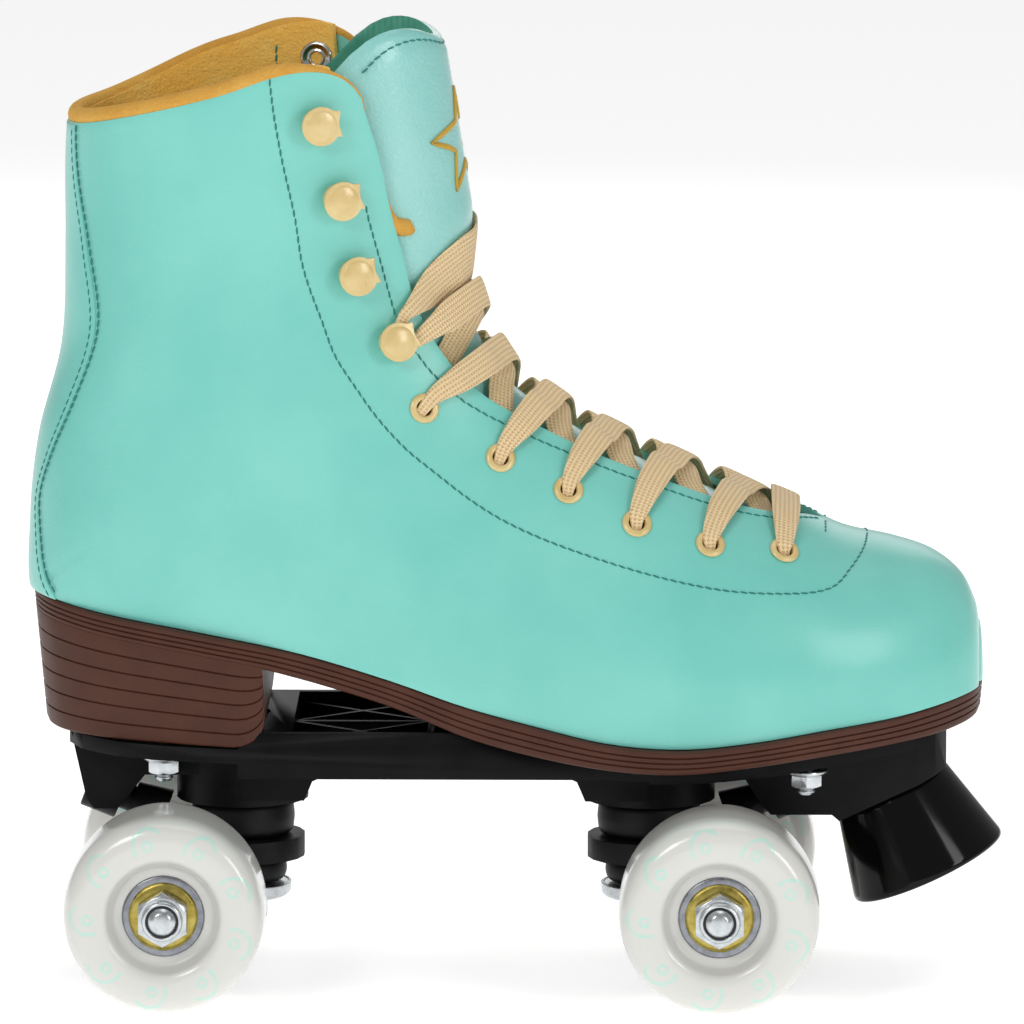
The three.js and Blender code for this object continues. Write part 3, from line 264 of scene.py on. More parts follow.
def woven_lace(name):
    # Flat tubular cotton lace: lengthwise ribs with slanted picks across them, both drawn as coarse as they need to
    # show. The colour is painted darker in the weave's low parts, as painted shade in its hollows.
    material, surface = new_material(name, {"Specular IOR Level": 0.15, "Sheen Weight": 0.25, "Roughness": 0.9})
    uv = put(material, "ShaderNodeUVMap", {"uv_map": "weave"})
    parts = put(material, "ShaderNodeSeparateXYZ", links={0: uv.outputs["UV"]})
    ribs = put(material, "ShaderNodeMath", {"operation": "MULTIPLY", 1: 2 * math.pi / RIB_SPACING},
               {0: parts.outputs["X"]}).outputs[0]
    rib_wave = put(material, "ShaderNodeMath", {"operation": "COSINE"}, {0: ribs}).outputs[0]
    tilt = put(material, "ShaderNodeMath", {"operation": "ABSOLUTE"}, {0: rib_wave}).outputs[0]
    run = put(material, "ShaderNodeMath", {"operation": "MULTIPLY", 1: 2 * math.pi / PICK_SPACING},
              {0: parts.outputs["Y"]}).outputs[0]
    slanted = put(material, "ShaderNodeMath", {"operation": "MULTIPLY_ADD", 1: 1.6}, {0: rib_wave, 2: run}).outputs[0]
    pick_wave = put(material, "ShaderNodeMath", {"operation": "SINE"}, {0: slanted}).outputs[0]
    height = put(material, "ShaderNodeMath", {"operation": "MULTIPLY_ADD", 1: 0.7},
                 {0: pick_wave, 2: rib_wave}).outputs[0]
    # Colour follows the weave's height: painted shade darkens the hollows between ribs and picks, and the crests stay
    # lighter.
    shade = put(material, "ShaderNodeMapRange", {"From Min": -1.7, "From Max": 1.5}, {"Value": height})
    ramp = put(material, "ShaderNodeValToRGB", links={"Fac": shade.outputs[0]})
    ramp.color_ramp.elements[0].color = linear("#C9A270")
    ramp.color_ramp.elements[1].color = linear("#F0D6A8")
    ramp.color_ramp.elements[1].position = 0.6
    connect(material, ramp.outputs["Color"], surface, "Base Color")
    relief(material, surface, [(height, 0.5), (tilt, 0.1)], 0.22)
    return material


def thread(name, colour):
    # Bonded polyester sewing thread: twisted plies with a slight gloss.
    material, surface = new_material(name, {"Base Color": linear(colour), "Roughness": 0.55, "Sheen Weight": 0.2})
    place = object_place(material)
    plies = put(material, "ShaderNodeTexNoise", {"Scale": per_metre(0.5), "Detail": 2}, {"Vector": place})
    relief(material, surface, [(plies.outputs["Fac"], 1)], 0.08)
    return material


def lit_acrylic(name):
    # A matt white acrylic table lit from below: even, nearly shadowless white.
    return new_material(name, {
        "Base Color": WHITE, "Roughness": 0.7, "Emission Color": WHITE, "Emission Strength": 0.55,
    })[0]


def enamelled(name, colours):
    # Enamelled stamped brass: a smooth glossy film with faint waviness.
    material, surface = new_material(name, {"Coat Weight": 0.35, "Coat Roughness": 0.12, "Metallic": 0.05})
    place = object_place(material)
    mottled(material, surface, place, colours, 5, (0.24, 0.34))
    film = put(material, "ShaderNodeTexNoise", {"Scale": per_metre(2.2), "Detail": 2}, {"Vector": place})
    relief(material, surface, [(film.outputs["Fac"], 1)], 0.05)
    return material


PRINT_COUNT = 9
PRINT_RADIUS = 20.5
CRESCENT_RADIUS = 4.3
CRESCENT_LINE = 0.5
RING_RADIUS = 1.2
RING_LINE = 0.42


def cast_urethane(name):
    # Cast polyurethane, glossy, with light passing a little way in, and a worn print of crescents and small rings
    # round each face.
    material, surface = new_material(name, {
        "Subsurface Weight": 0.25, "Subsurface Radius": (0.004, 0.0038, 0.0035), "Subsurface Scale": 1.0,
        "Coat Weight": 0.3, "Coat Roughness": 0.06, "IOR": 1.5,
    })
    uv = put(material, "ShaderNodeUVMap", {"uv_map": "face"})
    parts = put(material, "ShaderNodeSeparateXYZ", links={0: uv.outputs["UV"]})
    worn = put(material, "ShaderNodeTexNoise", {"Scale": 0.55, "Detail": 4}, {"Vector": uv.outputs["UV"]})
    pitch = 2 * math.pi / PRINT_COUNT
    # Each step: [what it makes, how, from what].
    sockets = {"x": parts.outputs["X"], "z": parts.outputs["Y"], "wear": worn.outputs["Fac"]}
    for made, operation, *inputs in (
        ("x_squared", "MULTIPLY", "x", "x"),
        ("z_squared", "MULTIPLY", "z", "z"),
        ("radius_squared", "ADD", "x_squared", "z_squared"),
        ("radius", "SQRT", "radius_squared"),
        ("angle", "ARCTAN2", "z", "x"),
        ("turn", "DIVIDE", "angle", pitch),
        ("part_turn", "FRACT", "turn"),
        ("share", "SUBTRACT", "part_turn", 0.5),
        ("turned", "MULTIPLY", "share", pitch),
        ("along", "MULTIPLY", "turned", "radius"),
        ("outward", "SUBTRACT", "radius", PRINT_RADIUS),
        ("along_squared", "MULTIPLY", "along", "along"),
        ("outward_squared", "MULTIPLY", "outward", "outward"),
        ("big_squared", "ADD", "along_squared", "outward_squared"),
        ("big", "SQRT", "big_squared"),
        ("from_ring", "SUBTRACT", "big", CRESCENT_RADIUS),
        ("off_ring", "ABSOLUTE", "from_ring"),
        ("ring", "LESS_THAN", "off_ring", CRESCENT_LINE),
        ("slant", "MULTIPLY", "along", 0.7),
        ("lean", "ADD", "outward", "slant"),
        ("outer_half", "GREATER_THAN", "lean", 0.5),
        ("crescent", "MULTIPLY", "ring", "outer_half"),
        ("dot_x", "SUBTRACT", "along", 0.4),
        ("dot_z", "ADD", "outward", 0.3),
        ("dot_x_squared", "MULTIPLY", "dot_x", "dot_x"),
        ("dot_z_squared", "MULTIPLY", "dot_z", "dot_z"),
        ("dot_squared", "ADD", "dot_x_squared", "dot_z_squared"),
        ("dot", "SQRT", "dot_squared"),
        ("from_dot", "SUBTRACT", "dot", RING_RADIUS),
        ("off_dot", "ABSOLUTE", "from_dot"),
        ("spot", "LESS_THAN", "off_dot", RING_LINE),
        ("printed", "ADD", "crescent", "spot"),
        ("ink", "MINIMUM", "printed", 1.0),
        ("wear_share", "MULTIPLY", "wear", 1.1),
        ("patchy", "MULTIPLY", "ink", "wear_share"),
    ):
        values = {i: v for i, v in enumerate(inputs) if not isinstance(v, str)}
        sources = {i: sockets[v] for i, v in enumerate(inputs) if isinstance(v, str)}
        sockets[made] = put(material, "ShaderNodeMath", {"operation": operation, **values}, sources).outputs[0]
    mix = put(material, "ShaderNodeMix", {"data_type": "RGBA", 6: linear("#DAD9D4"), 7: linear("#B2E3D6")},
              {0: sockets["patchy"]})
    connect(material, mix.outputs[2], surface, "Base Color")
    place = object_place(material)
    skin = put(material, "ShaderNodeTexNoise", {"Scale": per_metre(9), "Detail": 2}, {"Vector": place})
    gloss = put(material, "ShaderNodeMapRange", {"To Min": 0.14, "To Max": 0.24}, {"Value": skin.outputs["Fac"]})
    connect(material, gloss.outputs[0], surface, "Roughness")
    relief(material, surface, [(skin.outputs["Fac"], 1)], 0.03)
    return material


LEATHER = coated_leather("coated_leather_teal", ("#70C7BB", "#7ED1C5"), (0.34, 0.44), 0.55, 0.03, 0.3)
TONGUE_LEATHER = coated_leather("pearl_leather_tongue", ("#83C7C0", "#96D2CC"), (0.24, 0.36), 0.9, 0.1, 0.5)
FLEECE = brushed_fleece("brushed_fleece_binding", ("#D39A42", "#DEAB54"))
# A lighter copy of the binding's brushed fleece for the lining inside the boot: painted light that lifts the shade in
# there.
LINING_FLEECE_PAINTED_LIGHT = brushed_fleece("brushed_fleece_lining_painted_light", ("#FFC052", "#FFD070"))
KNIT = rib_knit("rib_knit_green", ("#3F947C", "#55A78F"))
SOLE_RUBBER = moulded("moulded_rubber_brown", ("#47271B", "#512F23"), (0.45, 0.58), 12, 0.8, 0.05, level=0.25)
NYLON = moulded("moulded_nylon_black", ("#0D0D0E", "#151516"), (0.36, 0.48), 15, 0.5, 0.03, level=0.1)
POWDER_COAT = moulded("powder_coat_black", ("#101011", "#181819"), (0.38, 0.5), 6, 1.2, 0.08, level=0.12)
BUSHING = moulded("cast_bushing_black", ("#0B0B0C", "#121213"), (0.4, 0.55), 8, 0.9, 0.03, level=0.2)
STOPPER = moulded("moulded_stopper_black", ("#060607", "#0A0A0B"), (0.08, 0.16), 20, 6, 0.02, 0.1, 0.14)
NYLON_INSERT = moulded("nylon_insert_black", ("#101012", "#1A1A1D"), (0.4, 0.5), 2)
WHEEL = cast_urethane("cast_urethane_white")
ZINC = metal("zinc_plated_steel", ("#B9BEC2", "#D8DBDC"), (0.2, 0.36))
STEEL = metal("ground_bearing_steel", ("#7D7F86", "#9A9CA2"), (0.22, 0.34))
BRASS = metal("brass_plated_shield", ("#9C8A3E", "#C4B264"), (0.22, 0.38))
NICKEL = metal("nickel_plated_rivet", ("#B4B8BB", "#DADCDD"), (0.12, 0.22))
ENAMEL = enamelled("cream_enamel_brass", ("#D2B676", "#DDC58B"))
LACE = woven_lace("flat_woven_cotton")
SEAM_THREAD = thread("bonded_thread_green", "#0E7A72")
GOLD_THREAD = thread("satin_thread_gold", "#C39B22")
FLOOR_ACRYLIC = lit_acrylic("lit_acrylic_white")


def add_floor():
    bpy.ops.mesh.primitive_plane_add(size=12, location=(0, 0, 0))
    floor = bpy.context.object
    floor.name = "floor"
    floor.data.materials.append(FLOOR_ACRYLIC)


# ---------------------------------------------------------------- making and finishing pieces

FINE_WELD = 0.00001
WELD = 0.00002


def from_mesh(name, verts, faces, material):
    """A smooth-shaded piece from points and faces, with one material or a list of them."""
    data = bpy.data.meshes.new(name)
    data.from_pydata([tuple(v) for v in verts], [], faces)
    piece = bpy.data.objects.new(name, data)
    bpy.context.scene.collection.objects.link(piece)
    for one in material if isinstance(material, list) else [material]:
        data.materials.append(one)
    data.polygons.foreach_set("use_smooth", [True] * len(data.polygons))
    return piece


def alone(piece):
    """Makes a piece the only selected one, and the active one."""
    bpy.ops.object.select_all(action="DESELECT")
    piece.select_set(True)
    bpy.context.view_layer.objects.active = piece


def applied(piece, kind, **settings):
    """Adds a modifier and applies it."""
    alone(piece)
    modifier = piece.modifiers.new(kind.lower(), kind)
    for name, value in settings.items():
        setattr(modifier, name, value)
    bpy.ops.object.modifier_apply(modifier=modifier.name)


def bevelled(piece, width_mm, segments, degrees):
    applied(piece, "BEVEL", width=width_mm * MM, segments=segments, limit_method="ANGLE",
            angle_limit=math.radians(degrees))


@contextmanager
def worked(piece):
    """The piece's mesh, open for work and put back afterwards."""
    work = bmesh.new()
    work.from_mesh(piece.data)
    yield work
    work.to_mesh(piece.data)
    work.free()


def welded(piece):
    """Merges doubles and turns every face outwards."""
    with worked(piece) as work:
        bmesh.ops.remove_doubles(work, verts=work.verts, dist=FINE_WELD)
        bmesh.ops.dissolve_degenerate(work, edges=work.edges, dist=FINE_WELD)
        bmesh.ops.recalc_face_normals(work, faces=work.faces)


def faced_outwards(piece):
    with worked(piece) as work:
        bmesh.ops.recalc_face_normals(work, faces=work.faces)


def smoothed(piece, degrees):
    """Smooth shading, broken at edges sharper than the given angle."""
    alone(piece)
    bpy.ops.object.shade_smooth_by_angle(angle=math.radians(degrees))


def joined(name, pieces):
    """One piece of several, under a new name."""
    bpy.ops.object.select_all(action="DESELECT")
    for piece in pieces:
        piece.select_set(True)
    bpy.context.view_layer.objects.active = pieces[0]
    if len(pieces) > 1:
        bpy.ops.object.join()
    result = bpy.context.view_layer.objects.active
    result.name = name
    result.data.name = name
    return result


def placed_copy(source, name, matrix):
    """A copy with a mesh of its own, carried to its place."""
    copy = source.copy()
    copy.data = source.data.copy()
    copy.name = name
    copy.data.name = name
    copy.data.transform(matrix)
    bpy.context.scene.collection.objects.link(copy)
    return copy


def removed(piece):
    bpy.data.objects.remove(piece)


def settled(piece, body, slot, *nodes):
    """Ties a finished piece to its body and hides the nodes that it stands for. The slot, its finish, is not used."""
    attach(piece, body)
    if nodes:
        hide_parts(*nodes)
    return piece


def spun(name, profile, material, steps, smooth_angle):
    """A (radius, height) profile in millimetres, spun about the upright axis at the origin."""
    data = bpy.data.meshes.new(name)
    edges = [(i, i + 1) for i in range(len(profile) - 1)]
    data.from_pydata([(r * MM, 0, h * MM) for r, h in profile], edges, [])
    piece = bpy.data.objects.new(name, data)
    bpy.context.scene.collection.objects.link(piece)
    alone(piece)
    bpy.ops.object.mode_set(mode="EDIT")
    bpy.ops.mesh.select_all(action="SELECT")
    bpy.ops.mesh.spin(steps=steps, angle=2 * math.pi, center=(0, 0, 0), axis=(0, 0, 1))
    bpy.ops.mesh.select_all(action="SELECT")
    bpy.ops.mesh.remove_doubles(threshold=FINE_WELD)
    bpy.ops.mesh.normals_make_consistent(inside=False)
    bpy.ops.object.mode_set(mode="OBJECT")
    data.materials.append(material)
    smoothed(piece, smooth_angle)
    return piece


def rounded(profile, corners, radius, steps):
    """The profile with the numbered corners replaced by curves of about that radius."""
    result = []
    for i, point in enumerate(profile):
        if i not in corners or i in (0, len(profile) - 1):
            result.append(point)
            continue
        here = Vector(point)
        before = Vector(profile[i - 1]) - here
        after = Vector(profile[i + 1]) - here
        start = here + before.normalized() * min(radius, before.length * 0.49)
        finish = here + after.normalized() * min(radius, after.length * 0.49)
        for k in range(steps + 1):
            t = k / steps
            result.append(tuple((1 - t) ** 2 * start + 2 * t * (1 - t) * here + t * t * finish))
    return result


def turned_to(direction, place):
    """Carries what stands on the origin along +Z to stand on place along direction."""
    spin = Vector(direction).to_track_quat("Z", "Y").to_matrix().to_4x4()
    return Matrix.Translation(place) @ spin


# ---------------------------------------------------------------- the boot's surface

FRONT_AXLE_X = 56.5
origin_x = middle_of("wheel_front_outer").x / MM - FRONT_AXLE_X

# The lines of the sole from heel to toe: [x, height] or [x, half width].
SOLE_TOP = [
    [-131, 108], [-109, 103.6], [-83.5, 99.1], [-57.6, 93.8], [-31.8, 86.2], [-12.4, 79.6], [7, 74.8],
    [26.5, 70.7], [46, 69.4], [65, 71], [84.5, 73.8], [104, 76.3], [117, 78.8], [129, 81.4],
]
SOLE_BOTTOM = [
    [-66, 89.4], [-52, 85.4], [-32, 79.1], [-12, 71.2], [7, 66.7], [26, 63.8], [46, 62.9],
    [65, 64.6], [84, 66.9], [104, 69.1], [117, 70.6], [129, 73],
]
HEEL_BACK_X = -126.2
HEEL_BREAST_X = -67
HEEL_SEAT_Z = [70.4, 67.4]
SOLE_HALF_WIDTH = [
    [-130.2, 0], [-128.6, 11], [-124, 21], [-114, 29], [-98, 33.2], [-78, 34.8], [-50, 33.2],
    [-20, 34.5], [10, 40.5], [38, 45.5], [60, 46.2], [82, 43.8], [100, 38], [113, 30.5],
    [122, 21.5], [126.8, 12], [128.4, 0],
]
SOLE_DRAFT = 0.09
TOE_SWING = 5

# Cross-sections of the boot from the toe, round the ankle, to above the collar:
# [crest x, crest z, far x, far z, half width, widest place, crest power, far power]
SECTIONS = [
    [127.2, 97.5, 127.2, 80, 9, 0.6, 2.2, 3],
    [126, 103, 126.4, 75, 16, 0.62, 2.2, 3.6],
    [122, 110.5, 122.5, 71, 22.5, 0.66, 2.2, 4.5],
    [114, 116.6, 115, 69, 29.5, 0.68, 2.2, 5],
    [103, 120.2, 103, 66, 35.5, 0.68, 2.2, 6],
    [90, 123.2, 88, 64, 40.3, 0.68, 2.1, 6],
    [76, 130, 72, 61.5, 43, 0.68, 2, 6],
    [58, 138, 51, 59, 43.8, 0.68, 1.9, 6],
    [40, 146, 29, 60, 42.4, 0.68, 1.9, 6],
    [24, 153.5, 6, 64.5, 39, 0.66, 1.9, 6],
    [11, 161.5, -18, 70.8, 35.6, 0.64, 1.9, 6],
    [1, 169.5, -50, 80, 33.6, 0.62, 2, 6],
    [-5, 180, -84, 87, 33.6, 0.6, 2, 5],
    [-9, 191, -117, 93, 33.8, 0.58, 2.1, 3.4],
    [-11.5, 202, -129.8, 104, 34, 0.57, 2.1, 2.6],
    [-13.5, 213, -130.6, 127, 34, 0.56, 2.1, 2.3],
    [-15.5, 225, -128, 150, 34, 0.56, 2.1, 2.3],
    [-17.5, 237, -121.6, 175, 34, 0.55, 2.1, 2.3],
    [-19.5, 249, -120.4, 202, 34.3, 0.54, 2.1, 2.3],
    [-21.5, 260, -120.2, 226, 35, 0.53, 2.1, 2.3],
    [-24, 274, -118.6, 252, 36, 0.52, 2.1, 2.3],
]
# Places along the boot are counted in cross-sections, about 12 mm apart on the shaft.
SHAFT_SPACING = 12
LAST_PLACE = len(SECTIONS) - 1.001
THROAT_START = 5.45
THROAT_HALF_WIDTH = [
    [5.45, 0], [5.48, 1.6], [5.6, 4], [5.9, 9], [6.3, 14], [6.8, 16.5], [8, 17.7], [10, 17.2],
    [11.5, 19.4], [13, 21.3], [15, 22.9], [17, 25.2], [18.25, 27.3], [20, 29],
]
TONGUE_OVERLAP = 8
TONGUE_MAX_HALF_WIDTH = 26
# [place, how far the lining stands back from the throat's edge]
LINING_SETBACK = [[5.6, 20], [8, 19], [10, 15], [12, 13], [14, 9], [15.4, 3], [16.4, 0.7], [20, 0.4]]
# The top lines of the collar and the tongue: [x, height].
COLLAR = [
    [-140, 233.5], [-120, 235], [-102, 239], [-89, 242.2], [-76, 245.7], [-63.5, 250], [-55, 251.4],
    [-48, 250.6], [-42, 247], [-38, 240], [-34, 228], [-20, 222],
]
TONGUE_TOP = [[-60, 236], [-46, 245], [-39, 255], [-32, 261], [-24, 262], [-17, 258], [-10, 250]]
# [place, setback from the throat's edge]
EYELETS = [[6.1, 14.5], [7.15, 12.5], [8.2, 11.7], [9.3, 9.2], [10.5, 7.6], [12.05, 6]]
HOOK = [13.45, 4]
INNER_COLLAR_LIFT = 5
INNER_COLLAR_RISE = [-114, -78]
UPPER_WALL = 2
LINING_WALL = 2.4
LINING_INSET = UPPER_WALL + GAP
INNER_INSET = LINING_INSET + LINING_WALL
TONGUE_INSET = INNER_INSET + 4 * GAP
TONGUE_THICKNESS = 6


def through(rows, x):
    """Smooth value at x through rows of [x, value], with x rising."""
    last = len(rows) - 1
    if x <= rows[0][0]:
        return rows[0][1]
    if x >= rows[last][0]:
        return rows[last][1]
    i = 0
    while rows[i + 1][0] < x:
        i += 1

    def slope(k):
        a = rows[max(k - 1, 0)]
        b = rows[min(k + 1, last)]
        return (b[1] - a[1]) / (b[0] - a[0])

    x0, v0 = rows[i]
    x1, v1 = rows[i + 1]
    h = x1 - x0
    s = (x - x0) / h
    start = (1 + 2 * s) * (1 - s) ** 2 * v0 + s * (1 - s) ** 2 * h * slope(i)
    return start + s * s * (3 - 2 * s) * v1 + s * s * (s - 1) * h * slope(i + 1)


def smooth(start, finish, x):
    """A soft step from 0 at start to 1 at finish."""
    s = min(max((x - start) / (finish - start), 0), 1)
    return s * s * (3 - 2 * s)


def toe_shift(x):
    """How far the last swings towards the inner side."""
    return TOE_SWING * smooth(10, 127, x)


@lru_cache(maxsize=None)
def section_at(place):
    return [through([[k, row[column]] for k, row in enumerate(SECTIONS)], place) for column in range(8)]


def boot_point_mm(place, turn, inset=0.0):
    """A point on the boot in design millimetres. Turn 0 is the crest and half a turn the far point."""
    cx, cz, fx, fz, half_width, widest, crest_power, far_power = section_at(place)
    span = math.hypot(fx - cx, fz - cz)
    along_x, along_z = (fx - cx) / span, (fz - cz) / span
    length = span - 2 * inset
    cosine = math.cos(turn)
    sine = math.sin(turn)
    power = 2 / (crest_power if cosine > 0 else far_power)
    reach = (widest if cosine > 0 else 1 - widest) * length
    run = inset + widest * length - math.copysign(abs(cosine) ** power, cosine) * reach
    y = math.copysign(abs(sine) ** power, sine) * (half_width - inset)
    x = cx + along_x * run
    pull = inset * smooth(100, 127, x)
    return x - pull, y + toe_shift(x), cz + along_z * run


def to_frame(x, y, z):
    return Vector(((x + origin_x) * MM, y * MM, z * MM))


def boot_point(place, turn, inset=0.0):
    return to_frame(*boot_point_mm(place, turn, inset))


def turn_across(place, y, inset=0.0):
    """The turn at which a section is y millimetres from its middle line."""
    half_width, crest_power = section_at(place)[4], section_at(place)[6]
    share = min(abs(y) / (half_width - inset), 1)
    return math.copysign(math.asin(share ** (crest_power / 2)), y)


def boot_across(place, y, inset=0.0):
    return boot_point(place, turn_across(place, y, inset), inset)


def outward_at(place, turn, inset=0.0):
    """The boot's outward normal."""
    step = 0.02
    up = boot_point(place + step, turn, inset) - boot_point(place - step, turn, inset)
    round_ = boot_point(place, turn + step, inset) - boot_point(place, turn - step, inset)
    normal = up.cross(round_).normalized()
    outside = boot_point(place, turn, inset - 1) - boot_point(place, turn, inset)
    return normal if normal.dot(outside) > 0 else -normal


def sole_top_z(x):
    return through(SOLE_TOP, x)


def sole_bottom_z(x):
    return through(SOLE_BOTTOM, x)


def heel_seat_z(x):
    share = (x - HEEL_BACK_X) / (HEEL_BREAST_X - HEEL_BACK_X)
    return HEEL_SEAT_Z[0] + (HEEL_SEAT_Z[1] - HEEL_SEAT_Z[0]) * share


def throat_half_width(place):
    return through(THROAT_HALF_WIDTH, place)


def found(low, high, value):
    """Where a falling value reaches zero between low and high, by halving."""
    for _ in range(26):
        middle = (low + high) / 2
        if value(middle) > 0:
            low = middle
        else:
            high = middle
    return (low + high) / 2


# Turns packed closer where a section bends hardest, and how far round each section they lie.
TURNS = sorted(
    [math.pi * k / 120 for k in range(121)]
    + [math.pi / 2 + 0.5 * (k / 40) ** 3 for k in range(1, 40)]
    + [math.pi - 0.5 * (k / 40) ** 3 for k in range(1, 40)]
)
PLACE_STEP = 0.2


@lru_cache(maxsize=None)
def arcs_at(index):
    points = [Vector(boot_point_mm(index * PLACE_STEP, turn)) for turn in TURNS]
    lengths = [0.0]
    for a, b in zip(points, points[1:]):
        lengths.append(lengths[-1] + (b - a).length)
    return np.array(lengths) / lengths[-1]


def share_of_turn(place, turn):
    index = min(int(place / PLACE_STEP), round((len(SECTIONS) - 1) / PLACE_STEP) - 1)
    t = place / PLACE_STEP - index
    low, high = np.interp(turn, TURNS, arcs_at(index)), np.interp(turn, TURNS, arcs_at(index + 1))
    return low + (high - low) * t


def turn_of_share(place, share):
    index = min(int(place / PLACE_STEP), round((len(SECTIONS) - 1) / PLACE_STEP) - 1)
    t = place / PLACE_STEP - index
    low, high = np.interp(share, arcs_at(index), TURNS), np.interp(share, arcs_at(index + 1), TURNS)
    return float(low + (high - low) * t)


@lru_cache(maxsize=None)
def sole_turn(place, inset, lift):
    """The turn at which a section meets the sole's top line, or half a turn where it clears it."""
    def above(turn):
        x, _, z = boot_point_mm(place, turn, inset)
        return z - sole_top_z(x) - lift

    if above(math.pi) > 0:
        return math.pi
    return found(math.pi / 2, math.pi, above)


def collar_height(x, side):
    """The collar's height. Its inner side stands a little higher than the outer."""
    lift = INNER_COLLAR_LIFT * smooth(*INNER_COLLAR_RISE, x) if side > 0 else 0
    return through(COLLAR, x) + lift


class Skin:
    """One layer of the boot: its depth, how far its front edges stand back and how high it ends."""

    def __init__(self, inset, setback=((0, 0), (20, 0)), rise=0.0, lift=GAP):
        self.inset = inset
        self.setback = setback
        self.rise = rise
        self.lift = lift

    def front_turn(self, place):
        if place <= THROAT_START:
            return 0.0
        return turn_across(place, throat_half_width(place) + through(self.setback, place), self.inset)

    def turn(self, place, share):
        first = share_of_turn(place, self.front_turn(place))
        last = share_of_turn(place, sole_turn(round(place, 3), self.inset, self.lift))
        return turn_of_share(place, first + (last - first) * share)

    def top_place(self, share, side):
        def below(place):
            x, _, z = boot_point_mm(place, self.turn(place, share), self.inset)
            return collar_height(x, side) + self.rise - z

        return found(15, LAST_PLACE, below)

    def point(self, place, share, side):
        return boot_point(place, side * self.turn(place, share), self.inset)


def spaced(start, finish, count):
    return [start + (finish - start) * k / count for k in range(count)]


SHELL_COLUMNS = 56
SHAFT_START = 14
SHAFT_ROWS = 44
low_places = spaced(0, 2, 16) + spaced(2, 5.4, 17) + spaced(5.4, 7, 22) + spaced(7, SHAFT_START, 35)
TOE_CAP_RINGS = 5
TOE_CAP_DEPTH = 1.2


def shell_rows(skin, side):
    """Rows of points from the toe to the collar, each from the crest or throat edge down to the sole."""
    rows = []
    shares = [k / SHELL_COLUMNS for k in range(SHELL_COLUMNS + 1)]
    for place in low_places:
        rows.append([skin.point(place, share, side) for share in shares])
    tops = [skin.top_place(share, side) for share in shares]
    for k in range(SHAFT_ROWS + 1):
        t = k / SHAFT_ROWS
        rows.append([
            skin.point(SHAFT_START + (top - SHAFT_START) * t, share, side) for top, share in zip(tops, shares)
        ])
    nose = rows[0]
    middle = Vector((nose[0].x, nose[0].y, nose[-1].z))
    cap = []
    for k in range(TOE_CAP_RINGS, 0, -1):
        angle = math.pi / 2 * k / TOE_CAP_RINGS
        push = Vector((TOE_CAP_DEPTH * MM * math.sin(angle), 0, 0))
        cap.append([middle + (point - middle) * math.cos(angle) + push for point in nose])
    return cap + rows


def shell_mesh(name, skin, material):
    """Both halves of a layer of the boot, sewn along the middle, facing outwards."""
    verts = []
    faces = []
    for side in (-1, 1):
        rows = shell_rows(skin, side)
        width = len(rows[0])
        start = len(verts)
        for row in rows:
            verts.extend(row)
        for r in range(len(rows) - 1):
            for c in range(width - 1):
                a = start + r * width + c
                quad = [a, a + 1, a + width + 1, a + width]
                faces.append(quad if side > 0 else quad[::-1])
    piece = from_mesh(name, verts, faces, material)
    with worked(piece) as work:
        bmesh.ops.remove_doubles(work, verts=work.verts, dist=WELD)
        bmesh.ops.dissolve_degenerate(work, edges=work.edges, dist=FINE_WELD)
        bmesh.ops.recalc_face_normals(work, faces=work.faces)
        foremost = max(work.faces, key=lambda face: face.calc_center_median().x)
        if foremost.normal.x < 0:
            bmesh.ops.reverse_faces(work, faces=work.faces)
    return piece


def eyelet_at(k):
    place, setback = EYELETS[k]
    return place, throat_half_width(place) + setback


EYELET_HOLE_RADIUS = 2.4


def eyelet_cutter():
    """Short rods where the eyelets' holes go."""
    cutters = []
    for k in range(len(EYELETS)):
        place, y = eyelet_at(k)
        for side in (-1, 1):
            centre = boot_across(place, side * y)
            normal = outward_at(place, turn_across(place, side * y))
            bpy.ops.mesh.primitive_cylinder_add(vertices=20, radius=EYELET_HOLE_RADIUS * MM, depth=14 * MM)
            cutter = bpy.context.object
            cutter.data.transform(turned_to(normal, centre))
            cutters.append(cutter)
    return joined("eyelet_cutter", cutters)


def add_upper():
    upper = shell_mesh("upper", Skin(0.0), LEATHER)
    applied(upper, "SOLIDIFY", thickness=UPPER_WALL * MM, offset=-1, use_even_offset=True)
    bevelled(upper, 0.6, 3, 55)
    cutter = eyelet_cutter()
    applied(upper, "BOOLEAN", operation="DIFFERENCE", object=cutter, solver="EXACT")
    removed(cutter)
    smoothed(upper, 50)
    settled(upper, "boot", "upper", "boot_upper")


LINING_RISE = 1.5


def add_lining():
    skin = Skin(LINING_INSET + 0.1, LINING_SETBACK, LINING_RISE, 2 * GAP + UPPER_WALL)
    # The lining's fleece is painted lighter than the binding's, as painted light against the shade inside the boot.
    lining = shell_mesh("collar_lining", skin, LINING_FLEECE_PAINTED_LIGHT)
    applied(lining, "SOLIDIFY", thickness=LINING_WALL * MM, offset=-1, use_even_offset=True)
    bevelled(lining, 1.1, 3, 55)
    smoothed(lining, 60)
    settled(lining, "boot", "lining", "boot_lining")


# ---------------------------------------------------------------- bands, rolls and stitches

def smooth_path(points, steps):
    """Points on a Catmull-Rom curve through the given vectors, with the given steps between each two."""
    result = []
    for i in range(len(points) - 1):
        before = points[max(i - 1, 0)]
        start, finish = points[i], points[i + 1]
        after = points[min(i + 2, len(points) - 1)]
        for k in range(steps):
            t = k / steps
            result.append(0.5 * (
                2 * start + (finish - before) * t
                + (2 * before - 5 * start + 4 * finish - after) * t * t
                + (3 * start - before - 3 * finish + after) * t ** 3
            ))
    result.append(points[-1].copy())
    return result


STEEP_TURN = 0.45
BAND_RELAXING = 4


